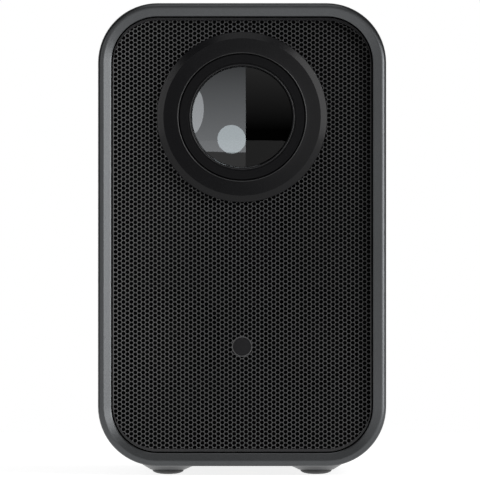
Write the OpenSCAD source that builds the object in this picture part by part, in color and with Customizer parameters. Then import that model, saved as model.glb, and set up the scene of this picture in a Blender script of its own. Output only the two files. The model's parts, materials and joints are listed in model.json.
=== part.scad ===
// Portable video projector in an upright housing.
// X is the width, Y the depth with the lens at -Y, and Z is up from the surface under the feet.
// A depth is counted backwards from the front edge of the housing.

/* [Housing] */
// Width of the housing sleeve
body_w = 119; // [117:1:130]
// Height of the housing sleeve without its feet
body_h = 191.2; // [190:0.2:205]
// Depth of the housing sleeve
body_d = 155; // [154:1:175]
// Radius of the sleeve's four long corners
corner_r = 24.6; // [23:0.2:26]
// Wall of the sleeve behind its front frame
wall = 2.6; // [2.2:0.1:3]
// Width of the front frame
frame_w = 5.4; // [5:0.1:6]
// Rounding of the frame's outer edge
edge_r = 2; // [1.5:0.1:2.3]
// Inward slope of the frame's front face, in degrees
frame_slope = 20; // [10:1:28]
// Broken edge inside the frame
frame_edge = 0.4; // [0.2:0.1:0.6]
// Radius of the screw pillars in the sleeve's corners
boss_r = 7.4; // [7.2:0.1:7.8]
// Length of the screw pillars
boss_l = 16; // [12:1:18]

/* [Feet] */
// Radius of a rubber foot
foot_r = 6.5; // [5.5:0.1:7]
// Height of a rubber foot
foot_h = 2; // [1.8:0.1:3]
// Height of the pedestal that carries a foot
pedestal_h = 1.8; // [1.5:0.1:2.5]
// Radius of the pedestal where the foot sits
pedestal_r = 7.4; // [7.2:0.1:8.5]
// Fillet between a pedestal and the flat bottom
pedestal_fillet = 8; // [5:0.5:9]
// Distance of a foot's middle from the housing's side
foot_side = 28.8; // [27:0.1:31]
// Distance of a foot's middle from the housing's front or back
foot_end = 25.5; // [22:0.5:27]

/* [Grille] */
// Depth of the grille's face inside the frame
grille_recess = 3.2; // [2.6:0.1:4]
// Thickness of the grille sheet
grille_t = 0.8; // [0.6:0.1:1]
// Gap between the grille and the frame
grille_gap = 0.6; // [0.4:0.1:0.8]
// Radius of the grille's rolled edge
grille_roll = 1.2; // [1:0.1:2]
// Distance between neighbouring holes of the grille
hole_pitch = 3.8; // [3.8:0.1:12]
// Radius of a hole of the grille
hole_r = 1.35; // [1:0.05:1.5]
// Plain border of the grille
grille_border = 0.4; // [0.3:0.1:2]

/* [Baffle] */
// Thickness of the baffle's outer flange
baffle_t = 2.5; // [2:0.1:3.5]
// Height of the baffle's raised land inside the grille
land_h = 2.5; // [2:0.1:3.5]
// Air between the grille sheet and the baffle
land_gap = 1; // [0.8:0.1:2]

/* [Lens front] */
// Distance of the lens axis below the housing's top
lens_drop = 47; // [45:0.5:48]
// Outer radius of the lens bezel
bezel_r = 35.2; // [34.5:0.1:36.5]
// Width of the bezel's outer chamfer
bezel_chamfer = 2.7; // [2:0.1:3.5]
// Depth of the bezel's front face
bezel_d = 0.9; // [0.5:0.1:1.5]
// Radial gap between the bezel and the lens barrel
barrel_gap = 0.6; // [0.4:0.1:1]
// Radius of the lens barrel
barrel_r = 26; // [25.8:0.1:26.4]
// Radius of the front lens that shows
glass_r = 21; // [20:0.1:21.2]
// Radius of curvature of the front lens
glass_curve = 60; // [50:1:90]
// Height of the remote sensor window
sensor_z = 53.2; // [52:0.1:56]
// Radius of the remote sensor window
sensor_r = 3.6; // [3:0.1:4]

/* [Focus drive] */
// Gap between the light engine and the fan
fan_gap = 3.3; // [1.5:0.1:4]
// Wall of the fixed lens tube
tube_wall = 2.5; // [2.3:0.1:2.8]
// Width of the focus ring gear
ring_w = 8; // [7.5:0.1:9]
// Tooth module of the focus gears
gear_module = 0.7; // [0.68:0.01:0.72]
// Teeth on a full turn of the focus ring
ring_teeth = 96; // [96:2:98]
// Teeth of the motor pinion
pinion_teeth = 16; // [14:2:18]
// Turn of the focus ring to each side, in degrees
focus_turn = 30; // [20:1:32]
// Travel of the lens barrel to each side
focus_travel = 1.5; // [1:0.1:1.6]
// Radius of the focus motor
motor_r = 9; // [7:0.5:9.5]
// Length of the focus motor
motor_l = 13; // [11:0.5:14]

/* [Light engine] */
// Gap between the light engine and the housing's side
engine_gap = 2.7; // [2.2:0.1:6]
// Length of the picture panel, front to back
panel_l = 54; // [50:1:55]
// Wall of the light engine
engine_wall = 2; // [1.6:0.1:2.2]
// Step in the width from the picture panel to the folding mirror
mirror_step = 8; // [7:0.5:12]
// Length of the folding mirror along its slope
mirror_l = 70; // [60:1:74]
// Thickness of the folding mirror
mirror_t = 2; // [1.5:0.1:3]
// Radius of the condenser lens
condenser_r = 17.5; // [16:0.1:17.8]
// Fins of the heat sink
fin_count = 15; // [11:2:17]

/* [Cooling fan] */
// Side of the square fan
fan_w = 60; // [56:1:62]
// Depth of the fan
fan_t = 15; // [14:0.5:16]
// Blades of the fan
blade_count = 9; // [7:2:11]
// Width of one air slot
slot_w = 2.6; // [2:0.1:3]
// Distance between air slots
slot_pitch = 5.4; // [5:0.1:6]

/* [Rear] */
// Depth of the rear cover inside the sleeve's rear edge
cover_inset = 1.5; // [1:0.1:3]
// Thickness of the rear cover
cover_t = 2.5; // [2:0.1:3.5]
// Gap between the main board and the housing's side
board_side = 8.9; // [8:0.1:12]
// Height of the main board
board_h = 58; // [54:1:60]
// Distance of the sockets below the housing's top
port_drop = 71; // [68:0.5:72]

/* [Speakers] */
// Distance from the middle of the front to the rim of a speaker
speaker_mid = 7; // [6.6:0.1:8]
// Gap between the rim of a speaker and its box
speaker_gap = 0.9; // [0.5:0.1:2]
// Height of the speakers
speaker_z = 57; // [55:0.5:60]

/* [Power button] */
// Width of the power button
button_w = 14; // [12:0.5:18]
// Length of the power button, front to back
button_l = 6; // [5:0.5:8]
// Height of the button above the housing
button_proud = 0.6; // [0.4:0.1:1]
// Press of the button
button_travel = 0.5; // [0.3:0.1:0.6]
// Distance of the button ahead of the light engine
button_lead = 18; // [9:1:26]

/* [Tripod socket] */
// Radius of the tripod thread, without its turns
tripod_r = 3.175; // [3.175, 4.7625]
// Depth of the tripod socket
tripod_l = 9; // [8:0.5:12]
// Distance of the tripod socket from the front of the heat sink
tripod_gap = 13.5; // [11.5:0.5:13.5]

/* [Fits] */
// Clearance of a piece that is dropped into a pocket
fit = 0.2; // [0.1:0.05:0.25]
// Radial clearance of a turning or sliding fit
running = 0.06; // [0.04:0.01:0.08]
// Radial clearance of a glued or screwed round fit
seat = 0.05; // [0.03:0.01:0.1]

/* [Hidden] */
$fn = 96;

// Reach of a cut past the faces that it opens
past = 1;

// Planes of the housing
body_z = foot_h + pedestal_h;
top_z = body_z + body_h;
mid_z = body_z + body_h / 2;
floor_z = body_z + wall;
ceiling_z = top_z - wall;
front_y = -body_d / 2;
lens_z = top_z - lens_drop;
port_z = top_z - port_drop;

// Depths of the front pieces
land_d = grille_recess + grille_t + land_gap;
flange_d = land_d + land_h;
baffle_d = flange_d + baffle_t;

// Insets of the front pieces from the outside of the housing
grille_inset = frame_w + grille_gap;
land_inset = grille_inset + grille_t + fit;
flange_inset = frame_w + fit;

// Screws: head and shank, shared by every group
head_r = 2.4;
head_h = 1.6;
shank_r = 1.25;
screw_l = 8;
thread_r = shank_r + seat;
clear_r = shank_r + fit;
boss_bite = 0.3;
boss_reach = corner_r - wall - boss_r + boss_bite;
boss_x = body_w / 2 - corner_r + boss_reach * cos(45);
boss_z = body_h / 2 - corner_r + boss_reach * sin(45);

// Feet
foot_x = body_w / 2 - foot_side;
foot_y = body_d / 2 - foot_end;
stud_r = 3;
stud_h = 1.4;
foot_round = 1;
flare_lap = 0.2 * pedestal_h;
pedestal_flare = pedestal_r - flare_lap + rise(pedestal_fillet, pedestal_fillet - pedestal_h);
pedestal_slope = 36;
flat_overhang = 1.5;

// Depth of the wall that carries the lens, in front of the light engine, the fan and the cover
mirror_reach = 44.5;
mirror_ledge = 2;
chamber_drop = 40;
chamber_rise = 36;
sheet_step = 3;
sink_side = 14.9;
sink_l = 58;
engine_l = mirror_reach + panel_l / 2 + sheet_step + fit + engine_wall;
cover_back = body_d - cover_inset;
cover_front = cover_back - cover_t;
fan_front = cover_front - fan_t;
engine_d = fan_front - fan_gap - engine_l;

// Lens front
bezel_gap = 0.35;
bezel_bore = barrel_r + barrel_gap;
tail_wall = 5;
bezel_tail = bezel_bore + tail_wall;
bezel_overlap = 2.6;
bezel_seat = bezel_r - bezel_overlap;
bezel_drop = 1.6;
bezel_dish = 0.5;
tail_past = 1.5;
tail_d = baffle_d + tail_past;
barrel_set = 0.7;
barrel_d = bezel_d + barrel_set;
barrel_reach = 4;
barrel_back = engine_d + barrel_reach;
retainer_w = 1.3;
retainer_r = glass_r + retainer_w;
retainer_set = 0.4;
retainer_d = barrel_d + retainer_set;
lens_margin = 0.6;
lens_r = glass_r + lens_margin;
lens_edge = 4.8;
lens_sag = glass_curve - rise(glass_curve, lens_r);
lens_set = 0.1;
lens_d = bezel_d + lens_sag + lens_set;
lens_back = lens_d + lens_edge;

// Inner lens groups
rear_reach = 12;
stop_r = 15.5;
middle_r = 17;
rear_r = 19;
middle_d = engine_d / 2;
middle_edge = 3;
middle_curve = 40;
rear_d = engine_d - rear_reach;
rear_edge = 3.5;
rear_curve = 48;

// Sensor window
window_past = 1.2;
window_back = baffle_d + window_past;
window_lip = 1.6;
window_flange = sensor_r + window_lip;
receiver_t = 1.5;
sensor_board_w = 14;
sensor_board_t = 1.2;

// Focus drive
tube_bore = barrel_r + running;
tube_r = tube_bore + tube_wall;
tube_set = 3;
tube_d = baffle_d + tube_set;
tube_flange_t = 3;
tube_flange_w = 6.5;
tube_flange_r = tube_r + tube_flange_w;
pinion_gap = 2;
end_play = 0.1;
ring_back = engine_d - tube_flange_t - motor_l - pinion_gap;
ring_front = ring_back - ring_w;
ring_mid = (ring_front + ring_back) / 2;
ring_bore = tube_r + running;
collar_w = 2;
collar_r = tube_r + collar_w;
collar_t = pinion_gap - 2 * end_play;
retainer_t = 1.8;
pressure_angle = 20;
addendum = 0.9 * gear_module;
dedendum = 1.15 * gear_module;
backlash = 0.12;
flank_steps = 4;
ring_pitch_r = ring_teeth * gear_module / 2;
ring_root_r = ring_pitch_r - dedendum;
pinion_pitch_r = pinion_teeth * gear_module / 2;
gear_distance = ring_pitch_r + pinion_pitch_r;
motor_angle = -45;
motor_x = gear_distance * cos(motor_angle);
motor_z = gear_distance * sin(motor_angle);
shaft_r = 1;
shaft_reach = 6;
sector_half = ceil((focus_turn + 6) * ring_teeth / 360);
pin_r = 1.2;
pin_root = 2;
pin_in = barrel_r - pin_root;
groove_fit = 0.2;
groove_r = pin_r + groove_fit;
groove_depth = 2.4;
groove_floor = ring_bore + groove_depth;
pin_gap = 0.3;
pin_out = groove_floor - pin_gap;
groove_step = 2;
lens_screw_in = 3;
lens_screw_r = tube_r + lens_screw_in;

// Light engine: heights of the levels, from the widest sheet down to the lamp's space
function total(list, last) = last < 0 ? 0 : list[last] + total(list, last - 1);
sheet_t = 2;
panel_t = 3;
glass_t = 1.5;
case_w = body_w - 2 * (wall + engine_gap);
case_l = panel_l + 2 * (sheet_step + fit + engine_wall);
panel_w = case_w - 2 * (sheet_step + fit + engine_wall);
engine_y = front_y + engine_d;
mirror_y = engine_y + mirror_reach;
case_rear = mirror_y + case_l / 2;
engine_z = lens_z - chamber_drop;
chamber_w = case_w - 2 * mirror_step;
mirror_w = chamber_w - 2 * (engine_wall + fit + mirror_ledge);
chamber_top = lens_z + chamber_rise;
slope_sum = mirror_y + lens_z + mirror_t * sqrt(2);
stack_h = [5, 8, 9, 10, 14];
pocket_z = [for (k = [0:len(stack_h) - 1]) engine_z - total(stack_h, k)];
case_floor = pocket_z[len(pocket_z) - 1];
collar_h = 16;
led_z = case_floor - collar_h;
condenser_rise = 6;
condenser_seat = led_z + condenser_rise;
condenser_edge = 4;
condenser_curve = 20;
collar_wall = 3.6;
led_margin = 4;
led_w = 2 * (condenser_r + collar_wall) + led_margin;
led_t = 3;
chip_w = 12;
chip_t = 1.4;
sink_w = body_w - 2 * (wall + sink_side);
sink_base = 5;
sink_z = led_z - led_t;
fin_t = 1.2;
rail_h = 2;
rail_w = 4;
fin_z = floor_z + rail_h;
fin_pitch = (sink_w - fin_t) / (fin_count - 1);

// Rear pieces, by depth
cover_fit = 0.3;
fan_lift = 1.6;
fan_z = floor_z + rail_h + fan_w / 2 + fan_lift;
fan_rim = 1.5;
fan_bore = fan_w / 2 - fan_rim;
fan_hole_in = 5;
fan_hole = fan_w / 2 - fan_hole_in;
fan_corner = 3;
hub_r = 12;
hub_l = 10;
fan_axle = 1.5;
bearing_r = 3.5;
strut_w = 3;
strut_t = 2;
blade_gap = 1;
blade_t = 1.4;
blade_pitch = 40;
board_t = 1.6;
board_gap = 12;
board_back = cover_front - board_gap;
board_front = board_back - board_t;
board_base = 12;
board_low = port_z - board_base;
board_mid = board_low + board_h / 2;
board_w = body_w - 2 * (wall + board_side);
chip_sink_w = 28;
chip_base_t = 1.2;
chip_sink_h = 4;
chip_fins = 7;
chip_fin_t = 1.55;
post_r = 3;
post_inset = 5;
post_x = board_w / 2 - post_inset;
post_z = board_h / 2 - post_inset;
port_gap = 0.4;
video_side = 15;
power_side = 17;
port_x = [-board_w / 2 + video_side, -11, 10, board_w / 2 - power_side];
video_w = 15.2;
video_h = 6;
data_w = 14.4;
data_h = 7;
shell_t = 0.5;
socket_depth = 11;
audio_w = 8;
audio_bore = 1.8;
power_w = 10;
power_bore = 3.2;
power_pin = 1;
vent_rows = 3;
vent_rise = 4;
vent_z = board_low + board_h + vent_rise;

// Speakers
box_wall = 2;
box_gap = 3;
box_w = body_w - 2 * (wall + box_gap);
box_margin = 6;
speaker_r = (box_w / 2 - box_wall - speaker_gap - speaker_mid) / 2;
speaker_x = speaker_mid + speaker_r;
box_h = 2 * (speaker_r + box_margin);
box_l = 38;
rim_w = 4;
basket_l = 16;
basket_t = 2;
basket_neck = 13;
surround_w = 7;
cone_r = speaker_r - surround_w;
coil_r = 6.6;
coil_t = 0.5;
coil_gap = 0.5;
magnet_r = 15;
magnet_l = 10;
roll_r = 1.9;
roll_t = 0.6;
cone_t = 0.7;
cap_curve = 9;

// Power button
button_gap = 0.2;
button_lip = 1.5;
button_lip_t = 1;
button_play = 0.15;
button_stem = 2;
switch_w = 6;
switch_h = 3.5;
button_drop = 7;
button_board_w = 34;
button_board_l = 14;
button_board_t = 1.2;
button_post_x = 13;
button_y = engine_y - button_lead;
stem_z = ceiling_z - button_drop + switch_h + button_travel + button_play;

// Tripod socket
insert_wall = 2;
insert_r = tripod_r + insert_wall;
boss_wall = 2.6;
tripod_boss_r = insert_r + boss_wall;
tripod_y = mirror_y - sink_l / 2 - tripod_gap;

// Air slots of the bottom
intake_rows = 7;
intake_l = 60;

module facing(y, z = 0) translate([0, y, z]) rotate([90, 0, 0]) children();

module slab(d0, d1) facing(front_y + d1) linear_extrude(d1 - d0) children();

module lens_slab(d0, d1) facing(front_y + d1, lens_z) linear_extrude(d1 - d0) children();

module lens_turn() facing(front_y, lens_z) rotate_extrude() children();

module ring(r_out, r_in) {
    difference() {
        circle(r_out);
        circle(r_in);
    }
}

module round_rect(w, h, r) {
    square([w - 2 * r, h], center = true);
    square([w, h - 2 * r], center = true);
    for (sx = [-1, 1], sy = [-1, 1])
        translate([sx * (w / 2 - r), sy * (h / 2 - r)]) circle(r);
}

module pill(w, h) round_rect(w, h, h / 2 - 0.001);

module box(w, h) square([w, h], center = true);

module body_outline(inset) {
    translate([0, mid_z]) round_rect(body_w - 2 * inset, body_h - 2 * inset, corner_r - inset);
}

// Sweeps a profile round a rounded rectangle: its x runs outwards, its y forwards
module ring_sweep(w, h, r) {
    for (k = [0:3]) {
        run = k % 2 == 0 ? h - 2 * r : w - 2 * r;
        reach = k % 2 == 0 ? w / 2 : h / 2;
        corner_x = k == 0 || k == 3 ? w / 2 - r : r - w / 2;
        corner_y = k < 2 ? h / 2 - r : r - h / 2;
        rotate(90 * k) translate([reach, 0, 0]) rotate([90, 0, 0])
            linear_extrude(run, center = true) children();
        translate([corner_x, corner_y, 0]) rotate(90 * k)
            rotate_extrude(angle = 90) translate([r, 0]) children();
    }
}

module at_corners() {
    for (sx = [-1, 1], sz = [-1, 1])
        translate([sx * boss_x, mid_z + sz * boss_z]) children();
}

// One screw with its head's front at the given depth; side 1 points forwards and -1 backwards
module screw(d, side) {
    facing(front_y + d) mirror([0, 0, side > 0 ? 0 : 1]) {
        translate([0, 0, -head_h]) cylinder(h = head_h, r = head_r);
        translate([0, 0, -head_h - screw_l]) cylinder(h = screw_l + head_h / 2, r = shank_r);
    }
}

module screw_at(x, z, d, side) translate([x, 0, z]) screw(d, side);

// Housing sleeve
module frame_profile() {
    crest_x = -edge_r * (1 + sin(frame_slope));
    crest_y = -edge_r * (1 - cos(frame_slope));
    slope_run = frame_w - frame_edge + crest_x;
    inner_y = crest_y - slope_run * tan(frame_slope);
    polygon([
        [crest_x, crest_y], [-frame_w + frame_edge, inner_y], [-frame_w, inner_y - frame_edge],
        [-frame_w, -baffle_d], [0, -baffle_d], [0, -edge_r], [-edge_r, -edge_r]
    ]);
    translate([-edge_r, -edge_r]) circle(edge_r);
}

module wall_profile() {
    rear = body_d - wall / 2;
    translate([-wall, -rear]) square([wall, rear - baffle_d]);
    translate([-wall / 2, -rear]) circle(wall / 2);
}

module pedestal(sx, sy) {
    rise = pedestal_h + wall;
    flat_half = body_w / 2 - corner_r + flat_overhang;
    translate([sx * foot_x, sy * foot_y, foot_h])
        cylinder(h = rise, r1 = pedestal_r, r2 = pedestal_r + rise / tan(pedestal_slope));
    intersection() {
        translate([sx * foot_x, sy * foot_y, 0]) rotate_extrude() difference() {
            translate([0, foot_h + pedestal_h / 2]) square([pedestal_flare, rise - pedestal_h / 2]);
            translate([pedestal_flare, body_z - pedestal_fillet]) circle(pedestal_fillet);
        }
        translate([-flat_half, -body_d / 2, 0]) cube([2 * flat_half, body_d, floor_z]);
    }
}

module housing_sleeve() {
    color([0.27, 0.275, 0.28]) difference() {
        union() {
            facing(front_y, mid_z) ring_sweep(body_w, body_h, corner_r) {
                frame_profile();
                wall_profile();
            }
            slab(baffle_d, baffle_d + boss_l) at_corners() circle(boss_r);
            slab(cover_front - boss_l, cover_front) at_corners() circle(boss_r);
            for (sx = [-1, 1], sy = [-1, 1]) pedestal(sx, sy);
            for (sx = [-1, 1])
                translate([sx * (sink_w - rail_w) / 2, mirror_y, floor_z - wall / 2])
                    linear_extrude(rail_h + wall / 2) box(rail_w, sink_l);
            for (sx = [-1, 1])
                translate([sx * button_post_x, button_y, ceiling_z - button_drop])
                    cylinder(h = button_drop + wall / 2, r = post_r);
            translate([0, tripod_y, body_z]) cylinder(h = tripod_l + wall, r = tripod_boss_r);
        }
        slab(baffle_d - past, baffle_d + screw_l) at_corners() circle(thread_r);
        slab(cover_front - screw_l, cover_front + past) at_corners() circle(thread_r);
        for (sx = [-1, 1], sy = [-1, 1])
            translate([sx * foot_x, sy * foot_y, foot_h - past])
                cylinder(h = stud_h + past + seat, r = stud_r + seat);
        translate([0, button_y, ceiling_z - past]) linear_extrude(wall + 2 * past)
            pill(button_w + 2 * button_gap, button_l + 2 * button_gap);
        translate([0, tripod_y, body_z - past]) cylinder(h = tripod_l + past, r = insert_r + seat);
        for (k = [0:intake_rows - 1])
            translate([0, mirror_y + (k - intake_rows / 2) * slot_pitch, body_z - past])
                linear_extrude(wall + 2 * past) pill(intake_l, slot_w);
    }
}

module rubber_foot(sx, sy) {
    color([0.12, 0.12, 0.125]) translate([sx * foot_x, sy * foot_y, 0]) rotate_extrude() {
        translate([0, foot_round]) square([foot_r, foot_h - foot_round]);
        square([foot_r - foot_round, foot_h / 2]);
        translate([foot_r - foot_round, foot_round]) circle(foot_round);
        translate([0, foot_h / 2]) square([stud_r, foot_h / 2 + stud_h]);
    }
}

module front_left_foot() rubber_foot(-1, -1);
module front_right_foot() rubber_foot(1, -1);
module rear_left_foot() rubber_foot(-1, 1);
module rear_right_foot() rubber_foot(1, 1);

module tripod_insert() {
    color([0.72, 0.6, 0.35]) translate([0, tripod_y, body_z]) difference() {
        cylinder(h = tripod_l, r = insert_r);
        translate([0, 0, -past]) cylinder(h = tripod_l + 2 * past, r = tripod_r);
    }
}

// Front
module at_speakers() {
    for (sx = [-1, 1]) translate([sx * speaker_x, speaker_z]) children();
}

module front_baffle() {
    color([0.1, 0.1, 0.105]) difference() {
        union() {
            slab(land_d, flange_d + baffle_t / 2) body_outline(land_inset);
            slab(flange_d, baffle_d) body_outline(flange_inset);
        }
        slab(land_d - past, baffle_d + past) {
            translate([0, lens_z]) circle(bezel_tail + seat);
            at_speakers() circle(speaker_r - rim_w / 2);
            translate([0, sensor_z]) circle(sensor_r + fit);
            at_corners() circle(clear_r);
        }
        slab(land_d - past, land_d + head_h) at_corners() circle(head_r + fit);
    }
}

// Staggered holes that keep clear of the border, the lens and the sensor window
function within(x, z, half_w, half_h, r) =
    let (dx = max(abs(x) - half_w + r, 0), dz = max(abs(z) - half_h + r, 0))
    norm([dx, dz]) <= r;

function grille_holes() =
    let (
        step = hole_pitch * sin(60),
        keep = grille_inset + grille_roll + grille_border + hole_r,
        half_w = body_w / 2 - keep,
        half_h = body_h / 2 - keep,
        lens_keep = bezel_seat + bezel_gap + grille_border + hole_r,
        sensor_keep = sensor_r + grille_border + hole_r,
        columns = floor(half_w / step),
        rows = ceil(half_h / hole_pitch)
    ) [
        for (i = [-columns:columns], j = [-rows:rows])
            let (x = i * step, z = mid_z + (j + (i % 2 == 0 ? 0 : 0.5)) * hole_pitch)
            if (within(x, z - mid_z, half_w, half_h, corner_r - keep)
                && norm([x, z - lens_z]) > lens_keep && norm([x, z - sensor_z]) > sensor_keep)
                [x, z]
    ];

module rolled_edge() {
    skirt = flange_d - grille_recess;
    translate([-grille_t, -skirt]) square([grille_t, skirt - grille_roll]);
    intersection() {
        translate([-grille_roll, -grille_roll]) ring(grille_roll, grille_roll - grille_t);
        translate([-grille_roll, -grille_roll]) square(grille_roll);
    }
}

module front_grille() {
    color([0.2, 0.2, 0.205]) {
        facing(front_y + grille_recess, mid_z)
            ring_sweep(body_w - 2 * grille_inset, body_h - 2 * grille_inset, corner_r - grille_inset)
                rolled_edge();
        slab(grille_recess, grille_recess + grille_t) difference() {
            body_outline(grille_inset + grille_roll);
            translate([0, lens_z]) circle(bezel_seat + bezel_gap);
            translate([0, sensor_z]) circle(sensor_r + fit);
            for (p = grille_holes()) translate(p) circle(hole_r);
        }
    }
}

module lens_bezel() {
    color([0.07, 0.07, 0.075]) lens_turn() polygon([
        [bezel_r, -grille_recess], [bezel_r, -bezel_d - bezel_drop], [bezel_r - bezel_chamfer, -bezel_d],
        [bezel_bore, -bezel_d - bezel_dish], [bezel_bore, -tail_d], [bezel_tail, -tail_d],
        [bezel_tail, -land_d], [bezel_seat, -land_d], [bezel_seat, -grille_recess]
    ]);
}

module sensor_window() {
    color([0.14, 0.14, 0.145]) {
        slab(grille_recess, window_back) translate([0, sensor_z]) circle(sensor_r);
        slab(baffle_d, window_back) translate([0, sensor_z]) circle(window_flange);
    }
}

module sensor_board() {
    board_d = window_back + receiver_t;
    color([0.05, 0.25, 0.14]) translate([0, 0, sensor_z]) {
        slab(window_back, board_d) circle(sensor_r);
        slab(board_d, board_d + sensor_board_t) box(sensor_board_w, sensor_board_w);
    }
}

// Lens group that slides for focus
module lens_barrel() {
    lip = 0.3;
    color([0.08, 0.08, 0.085]) difference() {
        lens_turn() polygon([
            [barrel_r - lip, -barrel_d], [barrel_r, -barrel_d - lip], [barrel_r, -barrel_back],
            [rear_r, -barrel_back], [rear_r, -rear_d], [middle_r, -rear_d], [middle_r, -middle_d],
            [stop_r, -middle_d], [stop_r, -lens_back - lens_edge], [lens_r - 2, -lens_back],
            [lens_r + seat, -lens_back], [lens_r + seat, -lens_d], [retainer_r, -lens_d],
            [retainer_r, -barrel_d]
        ]);
        translate([0, front_y + ring_mid, lens_z + pin_in]) cylinder(h = barrel_r, r = pin_r + seat);
    }
}

module lens_retainer() {
    color([0.1, 0.1, 0.105]) lens_turn() polygon([
        [retainer_r - seat, -retainer_d], [retainer_r - seat, -lens_d], [lens_r, -lens_d],
        [glass_r, -lens_d + 2 * fit], [glass_r, -retainer_d - fit]
    ]);
}

// Distance from a sphere's centre to the plane of a circle on it
function rise(curve, r) = sqrt(pow(curve, 2) - pow(r, 2));

// A round lens with its front edge at a depth; a curve of 0 is a flat face
module lens_form(d, edge, r, front_curve, back_curve) {
    lens_turn() intersection() {
        translate([0, -d - edge - r]) square([r, edge + 2 * r]);
        if (front_curve > 0) translate([0, -d - rise(front_curve, r)]) circle(front_curve);
        else translate([0, -d - edge - r]) square([r, edge + r]);
        if (back_curve > 0) translate([0, -d - edge + rise(back_curve, r)]) circle(back_curve);
        else translate([0, -d - edge]) square([r, edge + r]);
    }
}

module front_lens() color([0.5, 0.55, 0.58, 0.4]) lens_form(lens_d, lens_edge, lens_r, glass_curve, 0);

module middle_lens() color([0.5, 0.55, 0.58, 0.4])
    lens_form(middle_d, middle_edge, middle_r - seat, 0, middle_curve);

module rear_lens() color([0.5, 0.55, 0.58, 0.4])
    lens_form(rear_d, rear_edge, rear_r - seat, 0, rear_curve);

module cam_pin() {
    color([0.7, 0.7, 0.72]) translate([0, front_y + ring_mid, lens_z + pin_in])
        cylinder(h = pin_out - pin_in, r = pin_r);
}

// Fixed tube that guides the barrel and carries the focus ring
module lens_tube() {
    slot_l = 2 * (focus_travel + pin_r + fit);
    color([0.14, 0.14, 0.145]) difference() {
        union() {
            lens_slab(tube_d, engine_d) circle(tube_r);
            lens_slab(ring_back + end_play, ring_back + end_play + collar_t) circle(collar_r);
            lens_slab(engine_d - tube_flange_t, engine_d) {
                circle(tube_flange_r);
                translate([motor_x, motor_z]) circle(motor_r + 1);
                rotate(motor_angle) translate([0, -motor_r]) square([gear_distance, 2 * motor_r]);
            }
        }
        lens_slab(tube_d - past, engine_d + past) circle(tube_bore);
        lens_slab(engine_d - tube_flange_t - past, engine_d + past) at_lens_screws() circle(clear_r);
        translate([0, front_y + ring_mid, lens_z]) linear_extrude(collar_r) box(2 * (pin_r + fit), slot_l);
    }
}

module at_lens_screws() {
    for (a = [0:90:270]) rotate(a) translate([lens_screw_r, 0]) children();
}

module ring_retainer() {
    color([0.7, 0.7, 0.72]) lens_slab(ring_front - end_play - retainer_t, ring_front - end_play)
        ring(collar_r, tube_r + seat);
}

// Involute teeth
function roll_angle(base, r) = let (a = acos(min(base / r, 1))) tan(a) * 180 / PI - a;

module tooth(teeth) {
    pitch_r = teeth * gear_module / 2;
    base_r = pitch_r * cos(pressure_angle);
    tip_r = pitch_r + addendum;
    root_r = pitch_r - dedendum;
    low_r = max(base_r, root_r);
    half = 90 / teeth - backlash / 2 / pitch_r * 90 / PI + roll_angle(base_r, pitch_r);
    flank = [for (k = [0:flank_steps])
        let (r = low_r + (tip_r - low_r) * k / flank_steps) [r, half - roll_angle(base_r, r)]];
    foot_in = root_r - gear_module / 3;
    right = concat([[foot_in, flank[0][1]]], flank);
    polygon(concat(
        [for (p = right) [p[0] * cos(p[1]), -p[0] * sin(p[1])]],
        [for (k = [len(right) - 1:-1:0]) [right[k][0] * cos(right[k][1]), right[k][0] * sin(right[k][1])]]
    ));
}

// Ring gear with teeth on the sector that meets the pinion, and a cam groove for the barrel's pin
module focus_ring() {
    groove_end = focus_turn + 2;
    color([0.85, 0.85, 0.82]) difference() {
        lens_slab(ring_front, ring_back) difference() {
            union() {
                circle(ring_root_r);
                for (k = [-sector_half:sector_half])
                    rotate(motor_angle + k * 360 / ring_teeth) tooth(ring_teeth);
            }
            circle(ring_bore);
        }
        for (a = [-groove_end:groove_step:groove_end])
            facing(front_y + ring_mid + a * focus_travel / focus_turn, lens_z) rotate(-a)
                translate([0, tube_r, 0]) rotate([-90, 0, 0])
                    cylinder(h = groove_floor - tube_r, r = groove_r);
    }
}

module focus_pinion() {
    back = ring_back + pinion_gap + shaft_reach;
    color([0.88, 0.88, 0.85]) translate([motor_x, 0, motor_z]) {
        lens_slab(ring_front, ring_back) rotate(motor_angle + 180 + 180 / pinion_teeth) {
            circle(pinion_pitch_r - dedendum);
            for (k = [0:pinion_teeth - 1]) rotate(k * 360 / pinion_teeth) tooth(pinion_teeth);
        }
        lens_slab(ring_front, back) circle(shaft_r);
    }
}

module focus_motor() {
    front = ring_back + pinion_gap;
    color([0.75, 0.75, 0.77]) translate([motor_x, 0, motor_z]) difference() {
        lens_slab(front, front + motor_l) circle(motor_r);
        lens_slab(front - past, front + shaft_reach + past) circle(shaft_r + running);
    }
}

// Light engine: mirror chamber above, stack of sheets below
module chamber_outline(inset) {
    low = engine_z + inset;
    high = chamber_top + engine_wall - inset;
    front = engine_y + inset;
    rear = case_rear - inset;
    slope = slope_sum + (engine_wall - inset) * sqrt(2);
    polygon([[front, low], [front, high], [slope - high, high], [rear, slope - rear], [rear, low]]);
}

module across(w) rotate([90, 0, 90]) translate([0, 0, -w / 2]) linear_extrude(w) children();

module engine_upper_case() {
    open_w = case_w - 2 * engine_wall - 2 * sheet_step;
    inner_w = chamber_w - 2 * engine_wall;
    color([0.12, 0.12, 0.125]) difference() {
        union() {
            across(chamber_w) chamber_outline(0);
            translate([-case_w / 2, engine_y, engine_z]) cube([case_w, case_rear - engine_y, engine_wall]);
        }
        across(inner_w) chamber_outline(engine_wall);
        translate([0, mirror_y, engine_z - past]) linear_extrude(engine_wall + 2 * past)
            box(min(open_w, inner_w), panel_l);
        lens_slab(engine_d - past, engine_d + engine_wall + past) {
            circle(barrel_r + barrel_gap);
            at_lens_screws() circle(thread_r);
        }
    }
}

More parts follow.
